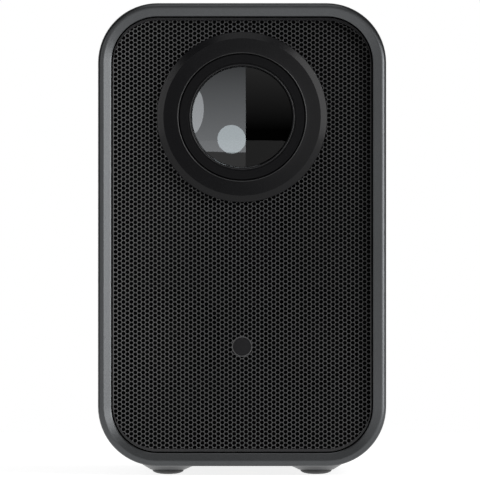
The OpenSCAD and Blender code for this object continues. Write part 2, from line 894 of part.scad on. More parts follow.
// Area of one level of the stack, counted down from the widest sheet
module level(k, grow) {
    side = 2 * sheet_step * (1 - k) + 2 * grow;
    box(panel_w + side, panel_l + side);
}

module engine_lower_case() {
    last = len(pocket_z) - 1;
    color([0.12, 0.12, 0.125]) translate([0, mirror_y, 0]) difference() {
        union() {
            for (k = [0:last])
                translate([0, 0, pocket_z[k] - engine_wall]) linear_extrude(stack_h[k] + engine_wall)
                    level(k, fit + engine_wall);
            translate([0, 0, led_z]) cylinder(h = collar_h, r = condenser_r + collar_wall);
        }
        for (k = [0:last])
            translate([0, 0, pocket_z[k]]) linear_extrude(stack_h[k] + past) level(k, fit);
        for (k = [0:last - 1])
            translate([0, 0, pocket_z[k] - engine_wall - past])
                linear_extrude(engine_wall + 2 * past) level(k + 1, fit);
        translate([0, 0, condenser_seat]) cylinder(h = collar_h, r = condenser_r + seat);
        translate([0, 0, led_z - past]) cylinder(h = collar_h, r = condenser_r - engine_wall);
    }
}

module fold_mirror() {
    color([0.8, 0.84, 0.88]) translate([0, mirror_y, lens_z]) rotate([-45, 0, 0])
        translate([-mirror_w / 2, -mirror_l / 2, 0]) cube([mirror_w, mirror_l, mirror_t]);
}

module sheet(k, t) translate([0, mirror_y, pocket_z[k]]) linear_extrude(t) level(k, 0);

module upper_lens_sheet() color([0.75, 0.8, 0.85, 0.5]) sheet(0, sheet_t);
module lcd_panel() color([0.2, 0.22, 0.26]) sheet(1, panel_t);
module lower_lens_sheet() color([0.75, 0.8, 0.85, 0.5]) sheet(2, sheet_t);
module heat_glass() color([0.6, 0.75, 0.8, 0.5]) sheet(3, glass_t);

module condenser_lens() {
    color([0.8, 0.85, 0.9, 0.5]) translate([0, mirror_y, condenser_seat]) rotate_extrude() intersection() {
        square([condenser_r, condenser_edge + condenser_r]);
        translate([0, condenser_edge - rise(condenser_curve, condenser_r)]) circle(condenser_curve);
    }
}

module led_module() {
    color([0.8, 0.55, 0.35]) translate([0, mirror_y, sink_z]) {
        linear_extrude(led_t) box(led_w, led_w);
        linear_extrude(led_t + chip_t) box(chip_w, chip_w);
    }
}

module heat_sink() {
    base_z = sink_z - sink_base;
    color([0.7, 0.71, 0.72]) translate([0, mirror_y, 0]) {
        translate([-sink_w / 2, -sink_l / 2, base_z]) cube([sink_w, sink_l, sink_base]);
        for (k = [0:fin_count - 1])
            translate([k * fin_pitch - sink_w / 2, -sink_l / 2, fin_z])
                cube([fin_t, sink_l, base_z - fin_z + fin_t]);
    }
}

// Cooling fan behind the rear cover
module at_fan_corners() {
    for (sx = [-1, 1], sz = [-1, 1]) translate([sx * fan_hole, fan_z + sz * fan_hole]) children();
}

module fan_frame() {
    base_d = cover_front - strut_t;
    color([0.09, 0.09, 0.095]) difference() {
        union() {
            slab(fan_front, cover_front) translate([0, fan_z]) difference() {
                round_rect(fan_w, fan_w, fan_corner);
                circle(fan_bore);
            }
            slab(base_d, cover_front) translate([0, fan_z]) {
                circle(hub_r);
                for (a = [45, 135]) rotate(a) box(2 * fan_bore + strut_w, strut_w);
            }
            slab(base_d - hub_l / 2, base_d + strut_t / 2) translate([0, fan_z]) circle(bearing_r);
        }
        slab(fan_front - past, cover_front + past) at_fan_corners() circle(thread_r);
        slab(fan_front - past, base_d + strut_t / 2) translate([0, fan_z]) circle(fan_axle + running);
    }
}

module fan_rotor() {
    back = cover_front - strut_t - blade_gap;
    front = back - hub_l;
    skin = 1.5;
    blade_r = fan_bore - blade_gap;
    blade_w = hub_l / cos(blade_pitch) * 1.6;
    color([0.13, 0.13, 0.135]) {
        slab(front, back) translate([0, fan_z]) ring(hub_r, hub_r - skin);
        slab(front, front + skin) translate([0, fan_z]) circle(hub_r);
        slab(front, back) translate([0, fan_z]) circle(fan_axle);
        intersection() {
            slab(front, back) translate([0, fan_z]) ring(blade_r, hub_r - skin / 2);
            facing(front_y + (front + back) / 2, fan_z)
                for (k = [0:blade_count - 1]) rotate(k * 360 / blade_count) rotate([blade_pitch, 0, 0])
                    translate([hub_r - skin, -blade_t / 2, -blade_w / 2]) cube([blade_r, blade_t, blade_w]);
        }
    }
}

// Rear cover with its air slots and socket openings
module at_board_posts() {
    for (sx = [-1, 1], sz = [-1, 1]) translate([sx * post_x, board_mid + sz * post_z]) children();
}

module at_port(k) translate([port_x[k], port_z]) children();

module air_slots() {
    count = floor((2 * fan_bore - slot_w) / slot_pitch / 2);
    for (k = [-count:count])
        let (z = k * slot_pitch, half = rise(fan_bore - slot_w / 2, z))
        translate([0, fan_z + z]) pill(2 * half + slot_w, slot_w);
    for (k = [0:vent_rows - 1])
        translate([0, vent_z + k * slot_pitch]) pill(board_w / 2, slot_w);
}

module rear_cover() {
    color([0.13, 0.13, 0.135]) difference() {
        union() {
            slab(cover_front, cover_back) body_outline(wall + cover_fit);
            slab(board_back, cover_front + cover_t / 2) at_board_posts() circle(post_r);
        }
        slab(cover_front - past, cover_back + past) {
            air_slots();
            at_port(0) box(video_w + 2 * port_gap, video_h + 2 * port_gap);
            at_port(1) box(data_w + 2 * port_gap, data_h + 2 * port_gap);
            at_port(2) box(audio_w + 2 * port_gap, audio_w + 2 * port_gap);
            at_port(3) box(power_w + 2 * port_gap, power_w + 2 * port_gap);
            at_corners() circle(clear_r);
            at_fan_corners() circle(clear_r);
        }
        slab(cover_back - head_h, cover_back + past) {
            at_corners() circle(head_r + fit);
            at_fan_corners() circle(head_r + fit);
        }
        slab(board_back - past, board_back + screw_l) at_board_posts() circle(thread_r);
    }
}

module main_board() {
    color([0.05, 0.25, 0.14]) difference() {
        slab(board_front, board_back) translate([0, board_mid]) box(board_w, board_h);
        slab(board_front - past, board_back + past) at_board_posts() circle(clear_r);
    }
}

module processor_sink() {
    half = (chip_fins - 1) / 2;
    color([0.7, 0.71, 0.72]) translate([0, 0, board_mid]) {
        slab(board_front - chip_base_t, board_front) box(chip_sink_w, chip_sink_w);
        slab(board_front - chip_sink_h, board_front - chip_base_t / 2)
            for (k = [-half:half]) translate([k * chip_sink_w / chip_fins, 0]) box(chip_fin_t, chip_sink_w);
    }
}

module socket_shell(w, h, tongue_h, tongue_z) {
    difference() {
        slab(board_back, cover_back) box(w, h);
        slab(cover_back - socket_depth, cover_back + past) box(w - 2 * shell_t, h - 2 * shell_t);
    }
    slab(cover_back - socket_depth - past, cover_back - past) translate([0, tongue_z]) box(w - 4, tongue_h);
}

module video_socket() {
    color([0.6, 0.6, 0.62]) translate([port_x[0], 0, port_z]) socket_shell(video_w, video_h, 1.2, 0);
}

module data_socket() {
    color([0.6, 0.6, 0.62]) translate([port_x[1], 0, port_z]) socket_shell(data_w, data_h, 1.8, data_h / 5);
}

module audio_socket() {
    color([0.08, 0.08, 0.085]) difference() {
        slab(board_back, cover_back) at_port(2) box(audio_w, audio_w);
        slab(cover_back - socket_depth, cover_back + past) at_port(2) circle(audio_bore);
    }
}

module power_socket() {
    color([0.08, 0.08, 0.085]) difference() {
        slab(board_back, cover_back) at_port(3) box(power_w, power_w);
        slab(cover_back - socket_depth, cover_back + past) at_port(3) ring(power_bore, power_pin);
        slab(cover_back - past, cover_back + past) at_port(3) circle(power_bore);
    }
}

// Speakers
module speaker_box() {
    color([0.11, 0.11, 0.115]) difference() {
        slab(baffle_d, baffle_d + box_l) translate([0, speaker_z]) box(box_w, box_h);
        slab(baffle_d - past, baffle_d + box_l - box_wall) translate([0, speaker_z])
            box(box_w - 2 * box_wall, box_h - 2 * box_wall);
    }
}

module speaker_turn(side) translate([side * speaker_x, front_y + baffle_d, speaker_z]) rotate([90, 0, 0])
    rotate_extrude() children();

module speaker_basket(side) {
    rim_in = speaker_r - rim_w;
    ledge = basket_t + roll_t;
    color([0.2, 0.2, 0.21]) difference() {
        speaker_turn(side) polygon([
            [speaker_r, 0], [speaker_r, -basket_t - ledge], [basket_neck + basket_t, -basket_l],
            [coil_r + coil_t + coil_gap, -basket_l], [coil_r + coil_t + coil_gap, -basket_l + basket_t],
            [basket_neck, -basket_l + basket_t], [rim_in, -basket_t - ledge], [rim_in, -ledge],
            [speaker_r - rim_w / 2, -ledge], [speaker_r - rim_w / 2, 0]
        ]);
        for (a = [0:60:300])
            translate([side * speaker_x, front_y + baffle_d + basket_l * 0.6, speaker_z]) rotate([0, a, 0])
                cylinder(h = speaker_r, r = basket_l / 5);
    }
}

module speaker_magnet(side) {
    gap_out = coil_r + coil_t + coil_gap;
    gap_in = coil_r - coil_gap;
    gap_end = -basket_l - magnet_l;
    pole_tip = -basket_l + basket_t / 2;
    color([0.16, 0.16, 0.17]) speaker_turn(side) polygon([
        [magnet_r, -basket_l], [magnet_r, gap_end - basket_t], [0, gap_end - basket_t], [0, pole_tip],
        [gap_in, pole_tip], [gap_in, gap_end], [gap_out, gap_end], [gap_out, -basket_l]
    ]);
}

// Paper cone with its coil former and dust cap
module speaker_cone(side) {
    rim_y = -basket_t - roll_t;
    neck_y = -basket_l / 2;
    coil_out = coil_r + coil_t;
    coil_end = -basket_l - magnet_l / 2;
    cap_drop = cap_curve - rise(cap_curve, coil_out);
    color([0.13, 0.13, 0.14]) {
        speaker_turn(side) polygon([
            [cone_r, rim_y], [cone_r, rim_y - cone_t], [coil_out, neck_y - cone_t], [coil_out, coil_end],
            [coil_r, coil_end], [coil_r, neck_y + cone_t], [coil_out, neck_y + cone_t]
        ]);
        speaker_turn(side) intersection() {
            translate([0, neck_y + cone_t - cap_curve + cap_drop]) ring(cap_curve, cap_curve - cone_t);
            translate([0, neck_y]) square([coil_out, cap_curve]);
        }
    }
}

// Half-round rubber roll between the cone and the basket
module speaker_surround(side) {
    rim_y = -basket_t - roll_t;
    outer = speaker_r - rim_w / 2 - seat;
    middle = cone_r + roll_r + roll_t;
    roll_in = roll_r - roll_t / 2;
    roll_out = roll_r + roll_t / 2;
    color([0.07, 0.07, 0.07]) speaker_turn(side) {
        intersection() {
            translate([middle, rim_y]) ring(roll_out, roll_in);
            translate([middle - roll_out, rim_y]) square([2 * roll_out, roll_out]);
        }
        translate([middle + roll_in, rim_y]) square([outer - middle - roll_in, roll_t]);
        translate([cone_r - roll_t, rim_y]) square([middle - roll_in - cone_r + roll_t, roll_t]);
    }
}

module left_speaker_basket() speaker_basket(-1);
module right_speaker_basket() speaker_basket(1);
module left_speaker_magnet() speaker_magnet(-1);
module right_speaker_magnet() speaker_magnet(1);
module left_speaker_cone() speaker_cone(-1);
module right_speaker_cone() speaker_cone(1);
module left_speaker_surround() speaker_surround(-1);
module right_speaker_surround() speaker_surround(1);

// Power button and its switch board
module power_button() {
    color([0.2, 0.205, 0.21]) translate([0, button_y, 0]) {
        lip_z = ceiling_z - button_play - button_lip_t;
        translate([0, 0, lip_z]) linear_extrude(top_z + button_proud - lip_z) pill(button_w, button_l);
        translate([0, 0, lip_z]) linear_extrude(button_lip_t)
            pill(button_w + 2 * button_lip, button_l + 2 * button_lip);
        translate([0, 0, stem_z]) cylinder(h = lip_z - stem_z + button_lip_t, r = button_stem);
    }
}

module button_board() {
    top = ceiling_z - button_drop;
    color([0.05, 0.25, 0.14]) translate([0, button_y, 0]) difference() {
        union() {
            translate([0, 0, top - button_board_t]) linear_extrude(button_board_t)
                box(button_board_w, button_board_l);
            translate([0, 0, top - button_board_t / 2]) linear_extrude(switch_h + button_board_t / 2)
                box(switch_w, switch_w);
        }
        for (sx = [-1, 1])
            translate([sx * button_post_x, 0, top - button_board_t - past])
                cylinder(h = button_board_t + 2 * past, r = clear_r);
    }
}

// Screws
module screw_group() color([0.3, 0.3, 0.31]) children();

module baffle_screws() {
    screw_group() for (sx = [-1, 1], sz = [-1, 1])
        screw_at(sx * boss_x, mid_z + sz * boss_z, land_d, 1);
}

module cover_screws() {
    screw_group() for (sx = [-1, 1], sz = [-1, 1])
        screw_at(sx * boss_x, mid_z + sz * boss_z, cover_back, -1);
}

module fan_screws() {
    screw_group() for (sx = [-1, 1], sz = [-1, 1])
        screw_at(sx * fan_hole, fan_z + sz * fan_hole, cover_back, -1);
}

module board_screws() {
    screw_group() for (sx = [-1, 1], sz = [-1, 1])
        screw_at(sx * post_x, board_mid + sz * post_z, board_front - head_h, 1);
}

module lens_screws() {
    head_d = engine_d - tube_flange_t - head_h;
    screw_group() for (a = [0:90:270])
        screw_at(lens_screw_r * cos(a), lens_z + lens_screw_r * sin(a), head_d, 1);
}

housing_sleeve();
front_baffle();
front_grille();
lens_bezel();
sensor_window();
sensor_board();
rear_cover();
front_left_foot();
front_right_foot();
rear_left_foot();
rear_right_foot();
tripod_insert();
button_board();
power_button();
lens_tube();
ring_retainer();
focus_ring();
focus_motor();
focus_pinion();
lens_barrel();
lens_retainer();
front_lens();
middle_lens();
rear_lens();
cam_pin();
engine_upper_case();
engine_lower_case();
fold_mirror();
upper_lens_sheet();
lcd_panel();
lower_lens_sheet();
heat_glass();
condenser_lens();
led_module();
heat_sink();
fan_frame();
fan_rotor();
main_board();
processor_sink();
video_socket();
data_socket();
audio_socket();
power_socket();
speaker_box();
left_speaker_basket();
right_speaker_basket();
left_speaker_magnet();
right_speaker_magnet();
left_speaker_cone();
right_speaker_cone();
left_speaker_surround();
right_speaker_surround();
baffle_screws();
cover_screws();
fan_screws();
board_screws();
lens_screws();
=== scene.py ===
import bmesh
import bpy
import json
import math
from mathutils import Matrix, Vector

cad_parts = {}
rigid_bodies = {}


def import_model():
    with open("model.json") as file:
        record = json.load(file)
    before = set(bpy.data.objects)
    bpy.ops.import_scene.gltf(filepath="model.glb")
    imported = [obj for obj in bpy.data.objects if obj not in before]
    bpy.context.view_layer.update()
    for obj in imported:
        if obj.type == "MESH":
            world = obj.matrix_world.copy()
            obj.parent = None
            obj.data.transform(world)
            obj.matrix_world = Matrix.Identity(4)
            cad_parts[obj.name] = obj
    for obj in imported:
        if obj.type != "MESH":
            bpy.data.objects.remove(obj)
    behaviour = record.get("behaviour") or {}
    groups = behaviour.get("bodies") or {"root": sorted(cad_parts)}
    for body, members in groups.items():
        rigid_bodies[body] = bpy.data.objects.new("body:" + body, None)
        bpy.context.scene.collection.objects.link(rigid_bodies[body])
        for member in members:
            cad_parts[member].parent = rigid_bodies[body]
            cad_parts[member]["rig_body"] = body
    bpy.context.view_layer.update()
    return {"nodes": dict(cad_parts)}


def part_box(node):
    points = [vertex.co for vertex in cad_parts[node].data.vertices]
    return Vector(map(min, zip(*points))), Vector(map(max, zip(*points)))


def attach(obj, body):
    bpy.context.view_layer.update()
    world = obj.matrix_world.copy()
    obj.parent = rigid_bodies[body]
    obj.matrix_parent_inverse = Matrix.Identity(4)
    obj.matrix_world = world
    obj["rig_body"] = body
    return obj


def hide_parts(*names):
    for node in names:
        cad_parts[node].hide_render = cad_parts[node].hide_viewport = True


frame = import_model()
nodes = frame["nodes"]
scene = bpy.context.scene
mm = 0.001
print("frame loaded,", len(nodes), "nodes")


# small helpers for node trees
def setSockets(node, values):
    for key, value in values.items():
        node.inputs[key].default_value = value


def addNode(tree, kind, inputs=None, **settings):
    node = tree.nodes.new(kind)
    for key, value in settings.items():
        setattr(node, key, value)
    setSockets(node, inputs or {})
    return node


def link(tree, source, target):
    tree.links.new(source, target)


def math2(tree, operation, first, second=None):
    node = addNode(tree, "ShaderNodeMath", operation=operation)
    for slot, value in enumerate((first, second)):
        if value is None:
            continue
        if isinstance(value, (int, float)):
            node.inputs[slot].default_value = value
        else:
            link(tree, value, node.inputs[slot])
    return node.outputs[0]


# a geometry tree with its named inputs: meshes, sizes, counts, and the finish
def startTree(name, meshes, sizes, counts=()):
    tree = bpy.data.node_groups.new(name, "GeometryNodeTree")
    for kind, labels in (("Geometry", meshes), ("Float", sizes), ("Int", counts), ("Material", ["Paint"])):
        for label in labels:
            tree.interface.new_socket(label, in_out="INPUT", socket_type="NodeSocket" + kind)
    tree.interface.new_socket("Geometry", in_out="OUTPUT", socket_type="NodeSocketGeometry")
    return tree, addNode(tree, "NodeGroupInput").outputs


def endTree(tree, shape, finish):
    real = addNode(tree, "GeometryNodeRealizeInstances")
    link(tree, shape, real.inputs["Geometry"])
    paint = addNode(tree, "GeometryNodeSetMaterial")
    link(tree, real.outputs["Geometry"], paint.inputs["Geometry"])
    link(tree, finish, paint.inputs["Material"])
    link(tree, paint.outputs["Geometry"], addNode(tree, "NodeGroupOutput").inputs["Geometry"])
    return tree


# soft shading on curves, crisp edges where faces meet at more than this angle
def shadeCurves(mesh, sharpAngle):
    mesh.polygons.foreach_set("use_smooth", [True] * len(mesh.polygons))
    mesh.set_sharp_from_angle(angle=math.radians(sharpAngle))


def meshFrom(work, name):
    mesh = bpy.data.meshes.new(name)
    work.to_mesh(mesh)
    work.free()
    return mesh


def newMaterial(name):
    material = bpy.data.materials.new(name)
    material.use_nodes = True
    tree = material.node_tree
    return material, tree, tree.nodes["Principled BSDF"]


# one recipe for painted, moulded and metal surfaces: grain in colour, gloss and relief
finishPlan = {"ior": 1.5, "grainRough": 0.6, "cloud": 18.0, "cloudDetail": 2.0, "grainShare": 0.75,
              "cloudShare": 0.25, "glossFrom": 0.3, "glossTo": 0.7}


def makeFinish(name, look):
    material, tree, shader = newMaterial(name)
    setSockets(shader, {"Metallic": look.get("metallic", 0.0), "IOR": finishPlan["ior"],
                        "Specular IOR Level": look.get("specular", 0.5)})
    coords = addNode(tree, "ShaderNodeTexCoord")
    mapping = addNode(tree, "ShaderNodeMapping", {"Scale": look.get("stretch", (1, 1, 1))})
    link(tree, coords.outputs["Object"], mapping.inputs["Vector"])
    grain = addNode(tree, "ShaderNodeTexNoise", {
        "Scale": look["grain"], "Detail": look.get("detail", 3.0), "Roughness": finishPlan["grainRough"]})
    link(tree, mapping.outputs["Vector"], grain.inputs["Vector"])
    cloud = addNode(tree, "ShaderNodeTexNoise", {
        "Scale": finishPlan["cloud"], "Detail": finishPlan["cloudDetail"]})
    link(tree, mapping.outputs["Vector"], cloud.inputs["Vector"])
    ramp = addNode(tree, "ShaderNodeValToRGB")
    ramp.color_ramp.elements[0].position = look.get("low", 0.3)
    ramp.color_ramp.elements[1].position = look.get("high", 0.7)
    ramp.color_ramp.elements[0].color = (*look["dark"], 1)
    ramp.color_ramp.elements[1].color = (*look["light"], 1)
    blend = math2(tree, "ADD", math2(tree, "MULTIPLY", grain.outputs["Fac"], finishPlan["grainShare"]),
                  math2(tree, "MULTIPLY", cloud.outputs["Fac"], finishPlan["cloudShare"]))
    link(tree, blend, ramp.inputs["Fac"])
    link(tree, ramp.outputs["Color"], shader.inputs["Base Color"])
    gloss = addNode(tree, "ShaderNodeMapRange", {
        "From Min": finishPlan["glossFrom"], "From Max": finishPlan["glossTo"],
        "To Min": look["rough"][0], "To Max": look["rough"][1]})
    link(tree, blend, gloss.inputs["Value"])
    link(tree, gloss.outputs["Result"], shader.inputs["Roughness"])
    relief = addNode(tree, "ShaderNodeBump", {
        "Strength": look.get("bump", 0.1), "Distance": look.get("depth", 0.0001)})
    link(tree, grain.outputs["Fac"], relief.inputs["Height"])
    link(tree, relief.outputs["Normal"], shader.inputs["Normal"])
    return material


# looks of the outer surfaces
housingLook = {
    "dark": (0.058, 0.0605, 0.063), "light": (0.092, 0.0955, 0.099), "grain": 3200.0,
    "rough": (0.29, 0.37), "metallic": 0.8, "bump": 0.10, "depth": 0.00012}
grilleLook = {
    "dark": (0.038, 0.038, 0.039), "light": (0.054, 0.054, 0.0555), "grain": 2600.0,
    "rough": (0.25, 0.33), "specular": 0.8, "bump": 0.05, "depth": 0.0001}
bezelLook = {
    "dark": (0.0045, 0.0045, 0.005), "light": (0.0065, 0.0065, 0.0072), "grain": 2800.0,
    "rough": (0.22, 0.29), "specular": 0.17, "bump": 0.05, "depth": 0.00008}
edgeLook = {
    "dark": (0.008, 0.008, 0.009), "light": (0.014, 0.014, 0.015), "grain": 2600.0,
    "rough": (0.18, 0.26), "specular": 0.5, "bump": 0.03, "depth": 0.00005}
barrelLook = {
    "dark": (0.004, 0.004, 0.0045), "light": (0.007, 0.007, 0.0075), "grain": 2400.0,
    "rough": (0.34, 0.42), "specular": 0.06, "bump": 0.05, "depth": 0.00008}
windowLook = {
    "dark": (0.008, 0.008, 0.009), "light": (0.012, 0.012, 0.013), "grain": 900.0,
    "rough": (0.42, 0.52), "specular": 0.12, "bump": 0.02, "depth": 0.00005}
plasticLook = {
    "dark": (0.014, 0.014, 0.015), "light": (0.024, 0.024, 0.025), "grain": 2000.0,
    "rough": (0.46, 0.60), "bump": 0.22, "depth": 0.00012}
clothLook = {
    "dark": (0.0025, 0.0025, 0.0027), "light": (0.005, 0.005, 0.0053), "grain": 1800.0,
    "rough": (0.90, 1.0), "specular": 0.05, "bump": 0.3, "depth": 0.0002}
rubberLook = {
    "dark": (0.032, 0.032, 0.032), "light": (0.050, 0.050, 0.050), "grain": 1500.0,
    "rough": (0.48, 0.62), "bump": 0.28, "depth": 0.00015}
print("outer looks set")

# looks of the inner pieces
brassLook = {
    "dark": (0.52, 0.36, 0.13), "light": (0.68, 0.50, 0.22), "grain": 900.0, "stretch": (1, 1, 8),
    "rough": (0.24, 0.36), "metallic": 1.0, "bump": 0.08}
boardLook = {
    "dark": (0.008, 0.075, 0.030), "light": (0.018, 0.130, 0.055), "grain": 420.0, "stretch": (1, 0.2, 3),
    "rough": (0.30, 0.45), "bump": 0.12, "low": 0.44, "high": 0.52, "detail": 0.0}
gearLook = {
    "dark": (0.66, 0.65, 0.61), "light": (0.76, 0.75, 0.71), "grain": 700.0,
    "rough": (0.40, 0.50), "bump": 0.06}
darkSteelLook = {
    "dark": (0.008, 0.008, 0.009), "light": (0.014, 0.014, 0.015), "grain": 1200.0, "stretch": (1, 1, 6),
    "rough": (0.55, 0.70), "specular": 0.2, "bump": 0.08}
steelLook = {
    "dark": (0.40, 0.40, 0.41), "light": (0.58, 0.58, 0.59), "grain": 1200.0, "stretch": (1, 1, 6),
    "rough": (0.26, 0.40), "metallic": 1.0, "bump": 0.08}
sinkLook = {
    "dark": (0.52, 0.53, 0.54), "light": (0.68, 0.69, 0.70), "grain": 900.0, "stretch": (1, 6, 1),
    "rough": (0.34, 0.48), "metallic": 1.0, "bump": 0.10}
magnetLook = {
    "dark": (0.050, 0.050, 0.053), "light": (0.085, 0.085, 0.090), "grain": 1300.0,
    "rough": (0.46, 0.62), "bump": 0.18}
coneLook = {
    "dark": (0.003, 0.003, 0.003), "light": (0.006, 0.006, 0.006), "grain": 1100.0, "stretch": (1, 3, 1),
    "rough": (0.85, 0.95), "specular": 0.06, "bump": 0.35, "depth": 0.0002}
mirrorLook = {
    "dark": (0.86, 0.88, 0.90), "light": (0.92, 0.94, 0.95), "grain": 60.0,
    "rough": (0.02, 0.05), "metallic": 1.0, "bump": 0.01}

housingPaint = makeFinish("housingPaint", housingLook)
grillePaint = makeFinish("grillePaint", grilleLook)
bezelBlack = makeFinish("bezelBlack", bezelLook)
edgeBlack = makeFinish("edgeBlack", edgeLook)
barrelBlack = makeFinish("barrelBlack", barrelLook)
windowSmoke = makeFinish("windowSmoke", windowLook)
blackPlastic = makeFinish("blackPlastic", plasticLook)
backingBlack = makeFinish("backingBlack", clothLook)
footRubber = makeFinish("footRubber", rubberLook)
insertBrass = makeFinish("insertBrass", brassLook)
boardGreen = makeFinish("boardGreen", boardLook)
gearWhite = makeFinish("gearWhite", gearLook)
plainSteel = makeFinish("plainSteel", steelLook)
darkSteel = makeFinish("darkSteel", darkSteelLook)
sinkAluminium = makeFinish("sinkAluminium", sinkLook)
magnetIron = makeFinish("magnetIron", magnetLook)
conePaper = makeFinish("conePaper", coneLook)
mirrorSilver = makeFinish("mirrorSilver", mirrorLook)


# optics: a tint, with faint haze marks in the gloss
dustPlan = {"scale": 160.0, "detail": 4.0, "from": 0.62, "to": 0.85}


def makeGlass(name, tint, ior, haze):
    material, tree, shader = newMaterial(name)
    setSockets(shader, {"Base Color": (*tint, 1), "Transmission Weight": 1.0, "IOR": ior})
    coords = addNode(tree, "ShaderNodeTexCoord")
    dust = addNode(tree, "ShaderNodeTexNoise", {"Scale": dustPlan["scale"], "Detail": dustPlan["detail"]})
    link(tree, coords.outputs["Object"], dust.inputs["Vector"])
    gloss = addNode(tree, "ShaderNodeMapRange", {
        "From Min": dustPlan["from"], "From Max": dustPlan["to"], "To Min": haze[0], "To Max": haze[1]})
    link(tree, dust.outputs["Fac"], gloss.inputs["Value"])
    link(tree, gloss.outputs["Result"], shader.inputs["Roughness"])
    return material


lensGlass = makeGlass("lensGlass", (0.0003, 0.0003, 0.00035), 1.25, (0.0, 0.03))
innerGlass = makeGlass("innerGlass", (0.85, 0.88, 0.90), 1.50, (0.02, 0.06))
print("materials made,", len(bpy.data.materials))


def newPiece(name, mesh, material):
    piece = bpy.data.objects.new(name, mesh)
    scene.collection.objects.link(piece)
    mesh.materials.clear()
    mesh.materials.append(material)
    return piece


def hand(piece, material, *nodeNames):
    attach(piece, nodes[nodeNames[0]]["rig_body"])
    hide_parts(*nodeNames)


def bakeModifiers(piece):
    graph = bpy.context.evaluated_depsgraph_get()
    mesh = bpy.data.meshes.new_from_object(piece.evaluated_get(graph))
    piece.modifiers.clear()
    piece.data = mesh


# sets a tree's inputs by identifier, then keeps the mesh that it makes
def runTree(piece, tree, values):
    modifier = piece.modifiers.new(tree.name, "NODES")
    modifier.node_group = tree
    for item in tree.interface.items_tree:
        if item.item_type == "SOCKET" and item.in_out == "INPUT" and item.name in values:
            modifier[item.identifier] = values[item.name]
    bakeModifiers(piece)


def growPiece(name, tree, values):
    piece = bpy.data.objects.new(name, bpy.data.meshes.new(name))
    scene.collection.objects.link(piece)
    runTree(piece, tree, values)
    return piece


# a welded copy of a node, with soft shading on its curves and crisp edges elsewhere
skinPlan = {"weld": 1e-5, "speck": 1e-7, "sharp": 32, "roundFrom": 55, "roundReach": 2.0, "roundSteps": 3,
            "evenWeight": 60}


def weldedCopy(nodeName):
    work = bmesh.new()
    work.from_mesh(nodes[nodeName].data)
    bmesh.ops.remove_doubles(work, verts=work.verts, dist=skinPlan["weld"])
    return work


def smoothCopy(nodeName, material, edgeAngle, edgeRound):
    work = weldedCopy(nodeName)
    bmesh.ops.dissolve_degenerate(work, edges=work.edges, dist=skinPlan["speck"])
    if edgeRound:  # only the edges that show at the front
        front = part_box(nodeName)[0][1] + skinPlan["roundReach"] * mm
        corner = math.radians(skinPlan["roundFrom"])
        sharp = [edge for edge in work.edges
                 if len(edge.link_faces) == 2 and edge.calc_face_angle() > corner
                 and max(vert.co.y for vert in edge.verts) < front]
        bmesh.ops.bevel(work, geom=sharp, offset=edgeRound * mm, segments=skinPlan["roundSteps"],
                        profile=0.5, affect="EDGES")
    points = [tuple(vert.co) for vert in work.verts]
    work.verts.index_update()
    faces = [[vert.index for vert in face.verts] for face in work.faces]
    work.free()
    mesh = bpy.data.meshes.new(nodeName + "Skin")
    mesh.from_pydata(points, [], faces)
    shadeCurves(mesh, edgeAngle)
    piece = newPiece(nodeName + "Skin", mesh, material)
    shading = piece.modifiers.new("shading", "WEIGHTED_NORMAL")
    shading.keep_sharp = True
    shading.weight = skinPlan["evenWeight"]
    bakeModifiers(piece)
    hand(piece, material, nodeName)
    return piece


# the moulded shell: its shading follows the drawn curves of the outline, the edge and the frame
shellPlan = {"height": 191.2, "corner": 24.6, "edge": 2.0, "slope": 20.0, "frame": 5.4,
             "wall": 2.6, "near": 0.03, "lip": 0.4, "lipLean": 32.0, "flangeGap": 0.2, "square": 0.9,
             "throat": 10.5, "frameDepth": 2.5, "lipSide": -0.39, "slopeSide": -0.25, "edgeSide": -0.35}


def outwardAt(x, z, halfW, halfH, corner):
    dx, dz = abs(x) - halfW + corner, abs(z) - halfH + corner
    if dx > 0 and dz > 0:
        reach = math.hypot(dx, dz)
        return math.copysign(dx / reach, x), math.copysign(dz / reach, z), reach - corner
    if dx > dz:
        return math.copysign(1, x), 0.0, dx - corner
    return 0.0, math.copysign(1, z), dz - corner


shellLow, shellHigh = (Vector(corner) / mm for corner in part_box("housing_sleeve"))
shellMidZ = shellHigh.z - shellPlan["height"] / 2


def placeInShell(point, plan):
    return outwardAt(point.x, point.z - shellMidZ, shellHigh.x, plan["height"] / 2, plan["corner"])


# the flange of the baffle meets the frame, so that no light shows past it
def closeFlange(piece, plan):
    for vert in piece.data.vertices:
        outX, outZ, inset = placeInShell(vert.co / mm, plan)
        if abs(inset + plan["frame"] + plan["flangeGap"]) < plan["near"]:
            vert.co.x += outX * plan["flangeGap"] * mm
            vert.co.z += outZ * plan["flangeGap"] * mm


# the inner edge of the frame leans a little more than its slope, and catches the light as a line
def leanInnerEdge(piece, plan):
    rise = plan["lip"] * (1 - math.tan(math.radians(plan["lipLean"])))
    for vert in piece.data.vertices:
        inset = placeInShell(vert.co / mm, plan)[2]
        depth = vert.co.y / mm - shellLow.y
        if abs(inset + plan["frame"]) < plan["near"] and depth < plan["edge"]:
            vert.co.y -= rise * mm
    piece.data.update()


